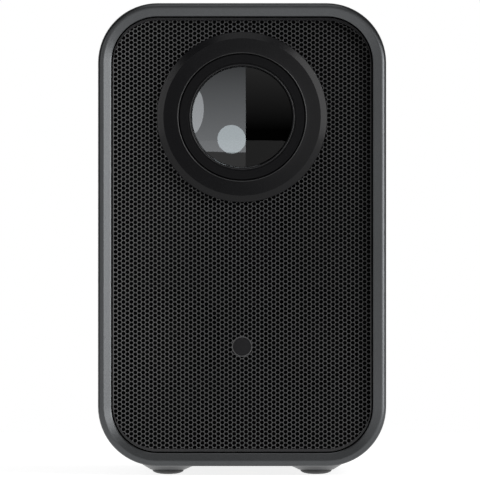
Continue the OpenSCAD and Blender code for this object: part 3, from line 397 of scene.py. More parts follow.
def shellNormals(piece, plan):
    lean, lipLean = math.radians(plan["slope"]), math.radians(plan["lipLean"])
    rearDepth = shellHigh.y - shellLow.y - plan["wall"] / 2
    mesh = piece.data
    normals = [tuple(item.vector) for item in mesh.corner_normals]
    for face in mesh.polygons:
        for corner in face.loop_indices:
            point = mesh.vertices[mesh.loops[corner].vertex_index].co / mm
            outX, outZ, inset = placeInShell(point, plan)
            depth = point.y - shellLow.y
            side = face.normal.x * outX + face.normal.z * outZ
            ahead = -face.normal.y
            along = None  # outward and forward parts of the true normal
            edge = (inset + plan["edge"], plan["edge"] - depth)
            rear = (inset + plan["wall"] / 2, rearDepth - depth)
            onFrame = depth < plan["frameDepth"]
            atThroat = abs(inset + plan["frame"]) < plan["near"] and depth < plan["throat"]
            onLip = onFrame and inset < plan["near"] - plan["frame"] + plan["lip"]
            sloped = ahead > plan["square"] and plan["lipSide"] < side < plan["slopeSide"]
            if side < -plan["square"] and atThroat:
                along = (-1.0, 0.0)
            elif onLip and side < plan["lipSide"]:
                along = (-math.sin(lipLean), math.cos(lipLean))
            elif onFrame and sloped and edge[0] < 0:
                along = (-math.sin(lean), math.cos(lean))
            elif (depth < plan["edge"] and abs(math.hypot(*edge) - plan["edge"]) < plan["near"]
                  and side > plan["edgeSide"]):
                along = edge
            elif depth > rearDepth and abs(math.hypot(*rear) - plan["wall"] / 2) < plan["near"]:
                along = rear
            elif side > plan["square"] and abs(inset) < plan["near"]:
                along = (1.0, 0.0)
            if along:
                normals[corner] = Vector((outX * along[0], -along[1], outZ * along[0])).normalized()
    mesh.normals_split_custom_set(normals)


shownCopies = {
    "housing_sleeve": housingPaint, "power_button": housingPaint, "lens_bezel": bezelBlack,
    "lens_barrel": barrelBlack, "lens_retainer": barrelBlack, "sensor_window": windowSmoke,
    "rear_cover": blackPlastic, "front_baffle": backingBlack, "tripod_insert": insertBrass,
    "fan_frame": blackPlastic, "fan_rotor": blackPlastic,
    "video_socket": plainSteel, "data_socket": plainSteel, "audio_socket": blackPlastic,
    "power_socket": blackPlastic, "heat_sink": sinkAluminium, "lens_tube": blackPlastic}
edgeAngles = {"housing_sleeve": 22}  # keeps the narrow inner edge of the frame crisp
edgeRounds = {"lens_bezel": 0.22, "lens_barrel": 0.16, "lens_retainer": 0.12}
skins = {}
for nodeName, material in shownCopies.items():
    skins[nodeName] = smoothCopy(nodeName, material, edgeAngles.get(nodeName, skinPlan["sharp"]),
                                 edgeRounds.get(nodeName, 0.0))
leanInnerEdge(skins["housing_sleeve"], shellPlan)
shellNormals(skins["housing_sleeve"], shellPlan)
closeFlange(skins["front_baffle"], shellPlan)
print("welded skins made,", len(shownCopies))


# the perforated sheet: a staggered pattern of round holes in a filleted outline
sheetPlan = {
    "columnStep": 1.633, "rowStep": 1.8792, "holeRadius": 0.87, "holeSides": 10,
    "rowShift": 0.230, "thickness": 0.8, "faceDepth": 3.2, "margin": 1.1, "skirtDepth": 7.5,
    "skirtWall": 0.4, "corner": 18.6, "lensHole": 33.6, "lensZ": 148.0,
    "sensorHole": 3.8, "sensorLand": 4.2, "sensorZ": 53.2, "hiddenRing": 3.0, "columns": 71, "rows": 103,
    "cellWeld": 0.01, "wallWeld": 0.002, "cornerSteps": 20, "beyond": 400.0, "toolDepth": 20.0,
    "lensSides": 96, "sensorSides": 32, "landSides": 48}
sheetLow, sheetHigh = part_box("front_grille")
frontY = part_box("housing_sleeve")[0][1] / mm
sheetW = (sheetHigh[0] - sheetLow[0]) / mm
sheetH = (sheetHigh[2] - sheetLow[2]) / mm
sheetMidZ = (sheetHigh[2] + sheetLow[2]) / 2 / mm


def thicken(tree, flat, depth):
    offset = addNode(tree, "ShaderNodeCombineXYZ")
    link(tree, depth, offset.inputs["Z"])
    raised = addNode(tree, "GeometryNodeExtrudeMesh", {"Individual": False, "Offset Scale": 1.0},
                     mode="FACES")
    link(tree, flat, raised.inputs["Mesh"])
    link(tree, offset.outputs[0], raised.inputs["Offset"])
    under = addNode(tree, "GeometryNodeFlipFaces")
    link(tree, flat, under.inputs["Mesh"])
    joined = addNode(tree, "GeometryNodeJoinGeometry")
    link(tree, under.outputs["Mesh"], joined.inputs[0])
    link(tree, raised.outputs["Mesh"], joined.inputs[0])
    welded = addNode(tree, "GeometryNodeMergeByDistance", {"Distance": sheetPlan["wallWeld"]})
    link(tree, joined.outputs[0], welded.inputs["Geometry"])
    return welded.outputs["Geometry"]


def cutBy(tree, operation, body, *tools):
    cut = addNode(tree, "GeometryNodeMeshBoolean", operation=operation, solver="MANIFOLD")
    if operation == "DIFFERENCE":
        link(tree, body, cut.inputs["Mesh 1"])
    else:
        link(tree, body, cut.inputs["Mesh 2"])
    for tool in tools:
        link(tree, tool, cut.inputs["Mesh 2"])
    return cut.outputs["Mesh"]


def moved(tree, shape, **axes):
    place = addNode(tree, "ShaderNodeCombineXYZ")
    for axis, value in axes.items():
        link(tree, value, place.inputs[axis.upper()])
    shift = addNode(tree, "GeometryNodeTransform")
    link(tree, shape, shift.inputs["Geometry"])
    link(tree, place.outputs[0], shift.inputs["Translation"])
    return shift.outputs["Geometry"]


def buildSheetTree():
    sizes = ["Column Step", "Row Step", "Hole Radius", "Row Shift", "Thickness", "Width", "Height",
             "Corner", "Lens Hole", "Lens Height", "Sensor Hole", "Sensor Height", "Half Shift",
             "Margin", "Sensor Land", "Hidden Ring"]
    tree, given = startTree("perforatedSheet", [], sizes, ["Columns", "Rows", "Hole Sides"])
    # lattice of hole centres, every second column half a step up
    spanX = math2(tree, "MULTIPLY", math2(tree, "SUBTRACT", given["Columns"], 1), given["Column Step"])
    spanY = math2(tree, "MULTIPLY", math2(tree, "SUBTRACT", given["Rows"], 1), given["Row Step"])
    grid = addNode(tree, "GeometryNodeMeshGrid")
    link(tree, spanX, grid.inputs["Size X"])
    link(tree, spanY, grid.inputs["Size Y"])
    link(tree, given["Columns"], grid.inputs["Vertices X"])
    link(tree, given["Rows"], grid.inputs["Vertices Y"])
    place = addNode(tree, "GeometryNodeInputPosition")
    split = addNode(tree, "ShaderNodeSeparateXYZ")
    link(tree, place.outputs[0], split.inputs[0])
    column = math2(tree, "ROUND", math2(tree, "DIVIDE", split.outputs["X"], given["Column Step"]))
    odd = math2(tree, "MODULO", math2(tree, "ABSOLUTE", column), 2.0)
    rise = math2(tree, "ADD", given["Row Shift"],
                 math2(tree, "MULTIPLY", odd, math2(tree, "MULTIPLY", given["Row Step"], 0.5)))
    offset = addNode(tree, "ShaderNodeCombineXYZ")
    link(tree, rise, offset.inputs["Y"])
    staggered = addNode(tree, "GeometryNodeSetPosition")
    link(tree, grid.outputs["Mesh"], staggered.inputs["Geometry"])
    link(tree, offset.outputs[0], staggered.inputs["Offset"])
    # leave out the cells that the lens bezel hides
    place2 = addNode(tree, "GeometryNodeInputPosition")
    split2 = addNode(tree, "ShaderNodeSeparateXYZ")
    link(tree, place2.outputs[0], split2.inputs[0])
    dz = math2(tree, "SUBTRACT", split2.outputs["Y"], given["Lens Height"])
    away = math2(tree, "SQRT", math2(tree, "ADD", math2(tree, "POWER", split2.outputs["X"], 2.0),
                                     math2(tree, "MULTIPLY", dz, dz)))
    hidden = math2(tree, "LESS_THAN", away, math2(tree, "SUBTRACT", given["Lens Hole"], given["Hidden Ring"]))
    thinned = addNode(tree, "GeometryNodeDeleteGeometry", domain="POINT")
    link(tree, staggered.outputs["Geometry"], thinned.inputs["Geometry"])
    link(tree, hidden, thinned.inputs["Selection"])
    # one cell: a hexagon with a round hole
    cellRadius = math2(tree, "DIVIDE", given["Row Step"], math.sqrt(3))
    hexagon = addNode(tree, "GeometryNodeCurvePrimitiveCircle", {"Resolution": 6})
    link(tree, cellRadius, hexagon.inputs["Radius"])
    fitted = addNode(tree, "GeometryNodeTransform")
    cellScale = addNode(tree, "ShaderNodeCombineXYZ", {"Y": 1.0, "Z": 1.0})
    link(tree, math2(tree, "DIVIDE", given["Column Step"], math2(tree, "MULTIPLY", cellRadius, 1.5)),
         cellScale.inputs["X"])
    link(tree, hexagon.outputs["Curve"], fitted.inputs["Geometry"])
    link(tree, cellScale.outputs[0], fitted.inputs["Scale"])
    hole = addNode(tree, "GeometryNodeCurvePrimitiveCircle")
    link(tree, given["Hole Sides"], hole.inputs["Resolution"])
    link(tree, given["Hole Radius"], hole.inputs["Radius"])
    rings = addNode(tree, "GeometryNodeJoinGeometry")
    link(tree, hole.outputs["Curve"], rings.inputs[0])
    link(tree, fitted.outputs["Geometry"], rings.inputs[0])
    cell = addNode(tree, "GeometryNodeFillCurve")
    link(tree, rings.outputs[0], cell.inputs["Curve"])
    spread = addNode(tree, "GeometryNodeInstanceOnPoints")
    link(tree, thinned.outputs["Geometry"], spread.inputs["Points"])
    link(tree, cell.outputs["Mesh"], spread.inputs["Instance"])
    real = addNode(tree, "GeometryNodeRealizeInstances")
    link(tree, spread.outputs["Instances"], real.inputs["Geometry"])
    weld = addNode(tree, "GeometryNodeMergeByDistance", {"Distance": sheetPlan["cellWeld"]})
    link(tree, real.outputs["Geometry"], weld.inputs["Geometry"])
    sheet = thicken(tree, weld.outputs["Geometry"], given["Thickness"])
    # outline, half, lens opening and sensor opening
    frameLine = addNode(tree, "GeometryNodeCurvePrimitiveQuadrilateral")
    link(tree, given["Width"], frameLine.inputs["Width"])
    link(tree, given["Height"], frameLine.inputs["Height"])
    rounded = addNode(tree, "GeometryNodeFilletCurve", {"Count": sheetPlan["cornerSteps"]}, mode="POLY")
    link(tree, frameLine.outputs["Curve"], rounded.inputs["Curve"])
    link(tree, given["Corner"], rounded.inputs["Radius"])
    outlineFace = addNode(tree, "GeometryNodeFillCurve")
    link(tree, rounded.outputs["Curve"], outlineFace.inputs["Curve"])
    tall = math2(tree, "MULTIPLY", given["Thickness"], 3.0)
    prism = moved(tree, thicken(tree, outlineFace.outputs["Mesh"], tall),
                  z=math2(tree, "MULTIPLY", given["Thickness"], -1.0))
    halfBox = addNode(tree, "GeometryNodeMeshCube")
    toolDepth = sheetPlan["toolDepth"]
    halfSize = addNode(tree, "ShaderNodeCombineXYZ", {"X": sheetPlan["beyond"], "Z": toolDepth})
    link(tree, given["Height"], halfSize.inputs["Y"])
    link(tree, halfSize.outputs[0], halfBox.inputs["Size"])
    half = moved(tree, halfBox.outputs["Mesh"], y=given["Half Shift"])
    lensPlug = addNode(tree, "GeometryNodeMeshCylinder", {
        "Vertices": sheetPlan["lensSides"], "Depth": toolDepth})
    link(tree, given["Lens Hole"], lensPlug.inputs["Radius"])
    sensorPlug = addNode(tree, "GeometryNodeMeshCylinder", {
        "Vertices": sheetPlan["sensorSides"], "Depth": toolDepth})
    link(tree, given["Sensor Hole"], sensorPlug.inputs["Radius"])
    # plain margins at the top and bottom, and a plain land round the sensor
    middle = math2(tree, "MULTIPLY", given["Thickness"], 0.5)
    stripBox = addNode(tree, "GeometryNodeMeshCube")
    stripSize = addNode(tree, "ShaderNodeCombineXYZ", {"X": sheetPlan["beyond"]})
    link(tree, math2(tree, "MULTIPLY", given["Margin"], 2.0), stripSize.inputs["Y"])
    link(tree, given["Thickness"], stripSize.inputs["Z"])
    link(tree, stripSize.outputs[0], stripBox.inputs["Size"])
    edgeY = math2(tree, "MULTIPLY", given["Height"], 0.5)
    landDisc = addNode(tree, "GeometryNodeMeshCylinder", {"Vertices": sheetPlan["landSides"]})
    link(tree, given["Sensor Land"], landDisc.inputs["Radius"])
    link(tree, given["Thickness"], landDisc.inputs["Depth"])
    filled = cutBy(tree, "UNION", sheet,
                   moved(tree, stripBox.outputs["Mesh"], y=edgeY, z=middle),
                   moved(tree, stripBox.outputs["Mesh"], y=math2(tree, "MULTIPLY", edgeY, -1.0), z=middle),
                   moved(tree, landDisc.outputs["Mesh"], y=given["Sensor Height"], z=middle))
    trimmed = cutBy(tree, "INTERSECT", filled, prism)
    trimmed = cutBy(tree, "INTERSECT", trimmed, half)
    trimmed = cutBy(tree, "DIFFERENCE", trimmed,
                    moved(tree, lensPlug.outputs["Mesh"], y=given["Lens Height"]),
                    moved(tree, sensorPlug.outputs["Mesh"], y=given["Sensor Height"]))
    return endTree(tree, trimmed, given["Paint"])


sheetTree = buildSheetTree()


def makeSheetHalf(name, halfShift):
    piece = growPiece(name, sheetTree, {
        "Column Step": sheetPlan["columnStep"], "Row Step": sheetPlan["rowStep"],
        "Hole Radius": sheetPlan["holeRadius"], "Hole Sides": sheetPlan["holeSides"],
        "Row Shift": sheetPlan["rowShift"] - sheetMidZ + (sheetPlan["rows"] + 1) / 2 * sheetPlan["rowStep"],
        "Thickness": sheetPlan["thickness"],
        "Width": sheetW, "Height": sheetH, "Corner": sheetPlan["corner"],
        "Margin": sheetPlan["margin"], "Sensor Land": sheetPlan["sensorLand"],
        "Lens Hole": sheetPlan["lensHole"], "Lens Height": sheetPlan["lensZ"] - sheetMidZ,
        "Sensor Hole": sheetPlan["sensorHole"], "Sensor Height": sheetPlan["sensorZ"] - sheetMidZ,
        "Hidden Ring": sheetPlan["hiddenRing"], "Half Shift": halfShift,
        "Columns": sheetPlan["columns"], "Rows": sheetPlan["rows"], "Paint": grillePaint})
    # stand the sheet up behind the frame: its plan is x and z, its depth runs to the back
    face = (frontY + sheetPlan["faceDepth"]) * mm
    for vert in piece.data.vertices:
        x, y, z = vert.co
        vert.co = (x * mm, face + z * mm, (y + sheetMidZ) * mm)
    piece.data.flip_normals()
    hand(piece, grillePaint, "front_grille")
    print(name, len(piece.data.polygons), "faces")
    return piece


sheetPieces = [makeSheetHalf("grilleUpper", sheetH / 2), makeSheetHalf("grilleLower", -sheetH / 2)]


# rounded rectangle as a list of points, counter-clockwise from the front
def roundedOutline(width, height, corner, steps):
    points = []
    for centre, start in (((1, 1), 0), ((-1, 1), 90), ((-1, -1), 180), ((1, -1), 270)):
        for step in range(steps + 1):
            turn = math.radians(start + 90 * step / steps)
            points.append((centre[0] * (width / 2 - corner) + corner * math.cos(turn),
                           centre[1] * (height / 2 - corner) + corner * math.sin(turn)))
    return points


# rims of the sheet, swept round its outline: a skirt behind it, and a black strip on its plain edge as
# painted shade
rimPlan = {"skirtTop": sheetPlan["faceDepth"] + sheetPlan["thickness"] / 2,
           "shadeStripTop": sheetPlan["faceDepth"] - 0.05, "shadeStripBack": sheetPlan["faceDepth"] + 0.2,
           "shadeStripOut": 0.02, "shadeStripSide": 0.15, "shadeStripEnd": 1.15, "sharp": 40}
skirtBack, skirtWall = sheetPlan["skirtDepth"], sheetPlan["skirtWall"]
skirtProfile = [(0.0, 0.0, rimPlan["skirtTop"]), (0.0, 0.0, skirtBack),
                (skirtWall, skirtWall, skirtBack), (skirtWall, skirtWall, rimPlan["skirtTop"])]
# the black strip on the plain edge of the sheet is painted shade, not a real seal
shadeStripProfile = [(rimPlan["shadeStripOut"], rimPlan["shadeStripOut"], rimPlan["shadeStripTop"]),
               (rimPlan["shadeStripOut"], rimPlan["shadeStripOut"], rimPlan["shadeStripBack"]),
               (rimPlan["shadeStripSide"], rimPlan["shadeStripEnd"], rimPlan["shadeStripBack"]),
               (rimPlan["shadeStripSide"], rimPlan["shadeStripEnd"], rimPlan["shadeStripTop"])]


# a profile gives the insets across and up, then the depth
def makeRim(name, profile, corner, material):
    rows = []
    work = bmesh.new()
    for insetX, insetZ, depth in profile:
        ring = roundedOutline(sheetW - 2 * insetX, sheetH - 2 * insetZ, corner - insetX,
                              sheetPlan["cornerSteps"])
        rows.append([work.verts.new((x * mm, (frontY + depth) * mm, (sheetMidZ + z) * mm)) for x, z in ring])
    for index, row in enumerate(rows):
        after = rows[(index + 1) % len(rows)]
        for k in range(len(row)):
            k2 = (k + 1) % len(row)
            work.faces.new((row[k], row[k2], after[k2], after[k]))
    bmesh.ops.recalc_face_normals(work, faces=work.faces)
    mesh = meshFrom(work, name)
    shadeCurves(mesh, rimPlan["sharp"])
    piece = newPiece(name, mesh, material)
    hand(piece, material, "front_grille")
    return piece


sheetPieces.append(makeRim("grilleSkirt", skirtProfile, sheetPlan["corner"], grillePaint))
# painted shade: a black strip over the plain edge of the sheet
makeRim("grilleShadeStrip", shadeStripProfile, sheetPlan["corner"], edgeBlack)
print("perforated sheet made")


# cross recess in the screw heads on the back: one cutter bar across and one up at each head
recessPlan = {"head": 2.4, "arm": 2.7, "slot": 0.62, "depth": 0.8}


def buildRecessTree():
    sizes = ["Span X", "Span Z", "Middle Z", "Face", "Arm", "Slot", "Depth"]
    tree, given = startTree("crossRecess", ["Screws"], sizes)
    heads = addNode(tree, "GeometryNodeMeshGrid", {"Vertices X": 2, "Vertices Y": 2})
    link(tree, given["Span X"], heads.inputs["Size X"])
    link(tree, given["Span Z"], heads.inputs["Size Y"])
    upright = addNode(tree, "GeometryNodeTransform", {"Rotation": (math.pi / 2, 0, 0)})
    link(tree, heads.outputs["Mesh"], upright.inputs["Geometry"])
    points = moved(tree, upright.outputs["Geometry"], y=given["Face"], z=given["Middle Z"])
    bars = []
    for wide, tall in (("Arm", "Slot"), ("Slot", "Arm")):
        size = addNode(tree, "ShaderNodeCombineXYZ")
        link(tree, given[wide], size.inputs["X"])
        link(tree, math2(tree, "MULTIPLY", given["Depth"], 2.0), size.inputs["Y"])
        link(tree, given[tall], size.inputs["Z"])
        bar = addNode(tree, "GeometryNodeMeshCube")
        link(tree, size.outputs[0], bar.inputs["Size"])
        spread = addNode(tree, "GeometryNodeInstanceOnPoints")
        link(tree, points, spread.inputs["Points"])
        link(tree, bar.outputs["Mesh"], spread.inputs["Instance"])
        real = addNode(tree, "GeometryNodeRealizeInstances")
        link(tree, spread.outputs["Instances"], real.inputs["Geometry"])
        bars.append(real.outputs["Geometry"])
    return endTree(tree, cutBy(tree, "DIFFERENCE", given["Screws"], *bars), given["Paint"])


recessTree = buildRecessTree()


# worked in millimetres, then brought back to metres
def makeRecessed(nodeName, material):
    low, high = (Vector(corner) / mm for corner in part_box(nodeName))
    work = weldedCopy(nodeName)
    bmesh.ops.scale(work, vec=(1 / mm, 1 / mm, 1 / mm), verts=work.verts)
    piece = newPiece(nodeName + "Cut", meshFrom(work, nodeName + "Cut"), material)
    runTree(piece, recessTree, {
        "Span X": high.x - low.x - 2 * recessPlan["head"], "Span Z": high.z - low.z - 2 * recessPlan["head"],
        "Middle Z": (high.z + low.z) / 2, "Face": high.y, "Arm": recessPlan["arm"],
        "Slot": recessPlan["slot"], "Depth": recessPlan["depth"], "Paint": material})
    for vert in piece.data.vertices:
        vert.co *= mm
    shadeCurves(piece.data, skinPlan["sharp"])
    hand(piece, material, nodeName)
    print(nodeName, "cut,", len(piece.data.polygons), "faces")


makeRecessed("cover_screws", darkSteel)
makeRecessed("fan_screws", plainSteel)


# turned shapes, from radius and depth behind the front
lathePlan = {"weld": 1e-7, "sharp": 30}


def latheMesh(name, profile, sides, centreX, centreZ):
    work = bmesh.new()
    rows = []
    for radius, depth in profile:
        y = (frontY + depth) * mm
        if radius == 0:
            rows.append([work.verts.new((centreX * mm, y, centreZ * mm))])
            continue
        row = []
        for k in range(sides):
            turn = 2 * math.pi * k / sides
            row.append(work.verts.new(((centreX + radius * math.cos(turn)) * mm, y,
                                       (centreZ + radius * math.sin(turn)) * mm)))
        rows.append(row)
    for row, after in zip(rows, rows[1:]):
        for k in range(sides):
            k2 = (k + 1) % sides
            if len(row) == 1:
                work.faces.new((row[0], after[k], after[k2]))
            elif len(after) == 1:
                work.faces.new((row[k], after[0], row[k2]))
            else:
                work.faces.new((row[k], after[k], after[k2], row[k2]))
    bmesh.ops.remove_doubles(work, verts=work.verts, dist=lathePlan["weld"])
    bmesh.ops.recalc_face_normals(work, faces=work.faces)
    mesh = meshFrom(work, name)
    shadeCurves(mesh, lathePlan["sharp"])
    return mesh


# domed rubber feet, and the hollow flare of the housing above each of them: radius and height
footPlan = {"sides": 64, "x": 30.7, "y": 52.0, "flareFrom": 6.7, "flareTo": 12.6,
            "dome": [(0, 0.0), (1.6, 0.03), (3.2, 0.16), (4.6, 0.42), (5.7, 0.82), (6.3, 1.25), (6.5, 1.7),
                     (6.5, 2.3), (0, 2.3)],
            "flare": [(6.2, 1.9), (6.7, 1.8), (7.3, 2.05), (8.2, 2.45), (9.3, 2.95), (10.5, 3.4), (11.6, 3.8),
                      (12.6, 4.2), (12.0, 5.2), (6.2, 5.2), (6.2, 1.9)]}
feet = {"front_left_foot": (-1, -1), "front_right_foot": (1, -1),
        "rear_left_foot": (-1, 1), "rear_right_foot": (1, 1)}


# stands a turned shape at a foot; the flare follows the round side of the housing
def standAtFoot(mesh, sideX, sideY, follow):
    flat = shellHigh.x - shellPlan["corner"]
    for vert in mesh.vertices:
        x, up, y = vert.co.x / mm, vert.co.y / mm - frontY, vert.co.z / mm
        share = (math.hypot(x, y) - footPlan["flareFrom"]) / (footPlan["flareTo"] - footPlan["flareFrom"])
        past = max(0.0, abs(x + sideX * footPlan["x"]) - flat)
        rise = shellPlan["corner"] - math.sqrt(shellPlan["corner"] ** 2 - past ** 2)
        up += rise * min(max(share, 0.0), 1.0) * follow
        vert.co = ((x + sideX * footPlan["x"]) * mm, (y + sideY * footPlan["y"]) * mm, up * mm)
    mesh.flip_normals()


flares = []
for nodeName, (sideX, sideY) in feet.items():
    dome = latheMesh(nodeName + "_dome", footPlan["dome"], footPlan["sides"], 0, 0)
    standAtFoot(dome, sideX, sideY, 0.0)
    hand(newPiece(nodeName + "_dome", dome, footRubber), footRubber, nodeName)
    flare = latheMesh(nodeName + "_flare", footPlan["flare"], footPlan["sides"], 0, 0)
    standAtFoot(flare, sideX, sideY, 1.0)
    flares.append(newPiece(nodeName + "_flare", flare, housingPaint))
    hand(flares[-1], housingPaint, "housing_sleeve")
print("feet made,", len(feet))

# the front lens, its dome on a shoulder inside the retainer
lensPlan = {"curve": 100.0, "dome": 20.75, "rings": 20, "sides": 128, "chamfer": 0.15, "edge": 4.8}


def makeFrontLens(plan):
    low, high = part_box("front_lens")
    radius = (high[0] - low[0]) / 2 / mm
    back = high[1] / mm - frontY
    apex = low[1] / mm - frontY
    profile = [(0, apex)]
    for ring in range(1, plan["rings"] + 1):
        r = plan["dome"] * ring / plan["rings"]
        profile.append((r, apex + plan["curve"] - math.sqrt(plan["curve"] ** 2 - r * r)))
    shoulder = plan["dome"] + plan["chamfer"]
    # the ground edge that the retainer holds, then the rim and the flat back
    profile += [(shoulder, profile[-1][1] + plan["chamfer"]), (shoulder, back - plan["edge"]),
                (radius, back - plan["edge"]), (radius, back - plan["chamfer"]),
                (radius - plan["chamfer"], back), (0, back)]
    mesh = latheMesh("frontLensGlass", profile, plan["sides"], (low[0] + high[0]) / 2 / mm,
                     (low[2] + high[2]) / 2 / mm)
    piece = newPiece("frontLensGlass", mesh, lensGlass)
    hand(piece, lensGlass, "front_lens")
    return piece


frontLens = makeFrontLens(lensPlan)
print("front lens made")


# fine beads on the edges of the lens rings
def buildBeadTree():
    tree, given = startTree("edgeBead", [], ["Ring Radius", "Bead Radius"], ["Ring Sides", "Bead Sides"])
    ring = addNode(tree, "GeometryNodeCurvePrimitiveCircle")
    link(tree, given["Ring Sides"], ring.inputs["Resolution"])
    link(tree, given["Ring Radius"], ring.inputs["Radius"])
    bead = addNode(tree, "GeometryNodeCurvePrimitiveCircle")
    link(tree, given["Bead Sides"], bead.inputs["Resolution"])
    link(tree, given["Bead Radius"], bead.inputs["Radius"])
    swept = addNode(tree, "GeometryNodeCurveToMesh")
    link(tree, ring.outputs["Curve"], swept.inputs["Curve"])
    link(tree, bead.outputs["Curve"], swept.inputs["Profile Curve"])
    return endTree(tree, swept.outputs["Mesh"], given["Paint"])


beadTree = buildBeadTree()
beadPlans = {
    "bezelBead": {"node": "lens_bezel", "ring": 26.55, "bead": 0.20, "depth": 1.44, "sides": (180, 12)},
    "retainerBead": {"node": "lens_retainer", "ring": 21.55, "bead": 0.17, "depth": 2.12, "sides": (180, 12)}}


def makeBead(name, plan):
    ringSides, beadSides = plan["sides"]
    piece = growPiece(name, beadTree, {
        "Ring Radius": plan["ring"], "Bead Radius": plan["bead"],
        "Ring Sides": ringSides, "Bead Sides": beadSides, "Paint": edgeBlack})
    low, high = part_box(plan["node"])
    for vert in piece.data.vertices:
        x, y, z = vert.co
        vert.co = ((low[0] + high[0]) / 2 + x * mm, (frontY + plan["depth"] - z) * mm,
                   (low[2] + high[2]) / 2 + y * mm)
    work = bmesh.new()
    work.from_mesh(piece.data)
    bmesh.ops.recalc_face_normals(work, faces=work.faces)
    work.to_mesh(piece.data)
    work.free()
    piece.data.polygons.foreach_set("use_smooth", [True] * len(piece.data.polygons))
    hand(piece, edgeBlack, plan["node"])


for beadName, beadPlan in beadPlans.items():
    makeBead(beadName, beadPlan)
print("edge beads made")

# finishes of the nodes that keep their own mesh
keptNodes = {
    blackPlastic: ["engine_upper_case", "engine_lower_case", "speaker_box"],
    gearWhite: ["focus_ring", "focus_pinion"],
    plainSteel: ["ring_retainer", "focus_motor", "cam_pin", "board_screws", "lens_screws"],
    darkSteel: ["left_speaker_basket", "right_speaker_basket"],
    innerGlass: ["middle_lens", "rear_lens", "condenser_lens", "heat_glass", "upper_lens_sheet",
                 "lower_lens_sheet", "lcd_panel"],
    boardGreen: ["sensor_board", "button_board", "main_board"],
    sinkAluminium: ["processor_sink", "led_module"],
    magnetIron: ["left_speaker_magnet", "right_speaker_magnet"],
    conePaper: ["left_speaker_cone", "right_speaker_cone"],
    backingBlack: ["left_speaker_surround", "right_speaker_surround", "baffle_screws"],
    mirrorSilver: ["fold_mirror"]}
for material, names in keptNodes.items():
    for nodeName in names:
        nodes[nodeName].material_slots[0].material = material
print("inner finishes set")


# pale floor, lifted to white for the camera and for reflections, clear to a camera below it
floorPlan = {"radius": 0.82, "sides": 96, "shade": 0.34, "lift": 0.84, "rough": 0.9, "specular": 0.1}


def makeFloor(plan):
    work = bmesh.new()
    bmesh.ops.create_circle(work, cap_ends=True, segments=plan["sides"], radius=plan["radius"])
    mesh = meshFrom(work, "studioFloor")
    material, tree, shader = newMaterial("paleFloor")
    shade = plan["shade"]
    setSockets(shader, {"Base Color": (shade, shade, shade, 1), "Roughness": plan["rough"],
                        "Specular IOR Level": plan["specular"], "Emission Color": (1, 1, 1, 1)})
    rays = addNode(tree, "ShaderNodeLightPath")
    mirrored = math2(tree, "MAXIMUM", rays.outputs["Is Glossy Ray"], rays.outputs["Is Transmission Ray"])
    seen = math2(tree, "MAXIMUM", rays.outputs["Is Camera Ray"], mirrored)
    glow = math2(tree, "MULTIPLY", seen, plan["lift"])
    link(tree, glow, shader.inputs["Emission Strength"])
    clear = addNode(tree, "ShaderNodeBsdfTransparent")
    side = addNode(tree, "ShaderNodeNewGeometry")
    pick = addNode(tree, "ShaderNodeMixShader")
    under = math2(tree, "MULTIPLY", side.outputs["Backfacing"], rays.outputs["Is Camera Ray"])
    link(tree, under, pick.inputs[0])
    link(tree, shader.outputs[0], pick.inputs[1])
    link(tree, clear.outputs[0], pick.inputs[2])
    link(tree, pick.outputs[0], tree.nodes["Material Output"].inputs["Surface"])
    floor = newPiece("studioFloor", mesh, material)


makeFloor(floorPlan)

# white backdrop behind the object, a dim room on the camera side
roomPlan = {"soft": 0.08, "dim": 0.04, "from": 0.60, "to": 0.95}


def makeRoom(plan):
    world = bpy.data.worlds.new("studioRoom")
    scene.world = world
    world.use_nodes = True
    tree = world.node_tree
    back = tree.nodes["Background"]
    rays = addNode(tree, "ShaderNodeLightPath")
    coords = addNode(tree, "ShaderNodeTexCoord")
    way = addNode(tree, "ShaderNodeSeparateXYZ")
    link(tree, coords.outputs["Generated"], way.inputs[0])
    seen = addNode(tree, "ShaderNodeMapRange", {
        "From Min": plan["from"], "From Max": plan["to"], "To Min": plan["dim"], "To Max": 1.0})
    link(tree, way.outputs["Y"], seen.inputs["Value"])
    glossy = addNode(tree, "ShaderNodeMix", {"A": plan["soft"]}, data_type="FLOAT")
    link(tree, rays.outputs["Is Glossy Ray"], glossy.inputs["Factor"])
    link(tree, seen.outputs["Result"], glossy.inputs["B"])
    direct = math2(tree, "MAXIMUM", rays.outputs["Is Camera Ray"], rays.outputs["Is Transmission Ray"])
    final = addNode(tree, "ShaderNodeMix", {"B": 1.0}, data_type="FLOAT")
    link(tree, direct, final.inputs["Factor"])
    link(tree, glossy.outputs["Result"], final.inputs["A"])
    link(tree, final.outputs["Result"], back.inputs["Strength"])
    back.inputs["Color"].default_value = (1, 1, 1, 1)


makeRoom(roomPlan)


# studio lamps: place, aim, size and brightness of each panel
def addLamp(name, place, aim, width, height, bright, shape="RECTANGLE", colour=(1, 1, 1)):
    aim = aim or (place[0], 0.0, place[2])  # straight ahead
    lamp = bpy.data.lights.new(name, "AREA")
    lamp.color = colour
    lamp.shape = shape
    lamp.size = width
    lamp.size_y = height
    area = width * height * (math.pi / 4 if shape == "ELLIPSE" else 1)
    lamp.energy = bright * math.pi * area
    holder = bpy.data.objects.new(name, lamp)
    holder.location = place
    holder.rotation_euler = (Vector(aim) - Vector(place)).to_track_quat("-Z", "Y").to_euler()
    holder.visible_camera = False
    scene.collection.objects.link(holder)
    return holder


# the lens, the sheet and the shell have lamps of their own, set apart from the body's light
def linkGroup(name, pieces, state):
    group = bpy.data.collections.new(name)
    for piece in pieces:
        group.objects.link(piece)
    for item in group.collection_objects:
        item.light_linking.link_state = state
    return group


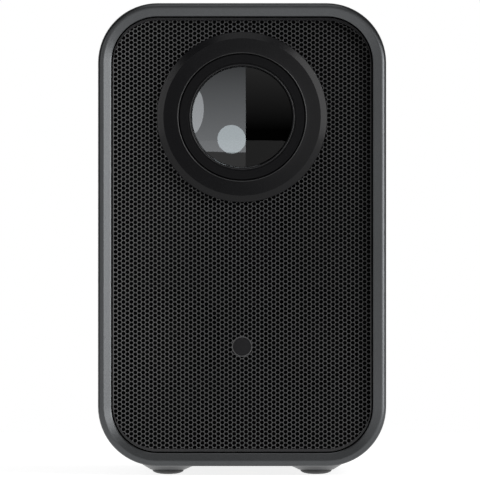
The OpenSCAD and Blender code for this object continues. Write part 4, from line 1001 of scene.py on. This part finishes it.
# fades a card from its lower to its upper edge
def fadeLamp(holder, low, high):
    lamp = holder.data
    lamp.use_nodes = True
    tree = lamp.node_tree
    spot = addNode(tree, "ShaderNodeNewGeometry")
    way = addNode(tree, "ShaderNodeSeparateXYZ")
    link(tree, spot.outputs["Parametric"], way.inputs[0])
    level = addNode(tree, "ShaderNodeMapRange", {"To Min": low, "To Max": high})
    link(tree, way.outputs["Y"], level.inputs["Value"])
    link(tree, level.outputs["Result"], tree.nodes["Emission"].inputs["Strength"])


onlyLens = linkGroup("onlyLens", [frontLens], "INCLUDE")
onlySheet = linkGroup("onlySheet", sheetPieces, "INCLUDE")
shellPieces = [skins["housing_sleeve"], skins["power_button"], *flares]
onlyShell = linkGroup("onlyShell", shellPieces, "INCLUDE")
allButLens = linkGroup("allButLens", [frontLens], "EXCLUDE")
bodyOnly = linkGroup("bodyOnly", [frontLens, *shellPieces, *sheetPieces], "EXCLUDE")
coolWhite, paleBlue = (0.92, 0.96, 1.0), (0.83, 0.95, 1.0)
bodyAim, middleAim = (0.0, -0.07, 0.10), (0.0, 0.0, 0.10)
lampSets = {
    onlyLens: {
        "lensCard": ((-0.0586, -0.2775, 0.1737), None, 0.1327, 0.1986, 10.2, "RECTANGLE", coolWhite),
        "lensDisc": ((-0.0221, -0.2725, 0.1035), None, 0.0596, 0.0609, 22.0, "ELLIPSE", paleBlue),
        "lensEdge": ((-0.118, -0.2675, 0.166), None, 0.076, 0.114, 16.0, "ELLIPSE", coolWhite),
        "lensLow": ((-0.0586, -0.2775, 0.046), None, 0.1327, 0.056, 1.5),
        "lensVeil": ((0.0664, -0.2775, 0.198), None, 0.117, 0.150, 1.1)},
    onlySheet: {
        "sheetKey": ((1.00, -0.43, 0.66), bodyAim, 0.27, 0.27, 128.0),
        "sheetPanel": ((-0.280, -0.2775, 0.17), None, 0.460, 0.30, 1.6)},
    onlyShell: {
        "shellFront": ((0.05, -1.30, 0.20), bodyAim, 1.2, 0.6, 0.8),
        "shellKey": ((0.82, -0.96, 0.17), bodyAim, 0.70, 0.33, 6.2),
        "shellStrip": ((1.07, -0.62, 0.17), bodyAim, 0.32, 0.33, 9.5),
        "shellLeft": ((-0.90, -0.88, 0.30), bodyAim, 0.80, 0.9, 1.0),
        "shellTop": ((0.0, -0.97, 0.85), bodyAim, 1.0, 0.5, 0.45)},
    bodyOnly: {
        "leftPanel": ((-0.495, -1.11, 0.20), bodyAim, 0.80, 0.9, 1.5),
        "keyPanel": ((1.00, -0.62, 0.48), bodyAim, 1.4, 1.3, 4.2),
        "leftFill": ((-1.20, -0.32, 0.40), bodyAim, 0.9, 1.2, 2.6)},
    allButLens: {
        "topPanel": ((0.0, -0.35, 1.15), bodyAim, 0.6, 0.6, 1.4),
        "rearPanel": ((-0.55, 1.00, 0.45), middleAim, 0.8, 0.8, 1.2)}}
cardFades = {"lensCard": (1.25, 0.30), "lensVeil": (0.0, 1.4)}
for group, lamps in lampSets.items():
    for lampName, values in lamps.items():
        holder = addLamp(lampName, *values)
        holder.light_linking.receiver_collection = group
        if lampName in cardFades:
            fadeLamp(holder, *cardFades[lampName])

# camera level with the middle of the object, a long way off
cameraPlan = {"away": 4.0, "x": -0.00086, "z": 0.0972, "lens": 727.0, "sensor": 36.0, "reach": 50.0}
camera = bpy.data.cameras.new("frontCamera")
camera.lens = cameraPlan["lens"]
camera.sensor_width = cameraPlan["sensor"]
camera.clip_end = cameraPlan["reach"]
cameraHolder = bpy.data.objects.new("frontCamera", camera)
cameraHolder.location = (cameraPlan["x"], frontY * mm - cameraPlan["away"], cameraPlan["z"])
cameraHolder.rotation_euler = (math.radians(90), 0, 0)
scene.collection.objects.link(cameraHolder)
scene.camera = cameraHolder
scene.view_settings.view_transform = "Standard"
print("lamps, room and camera set")
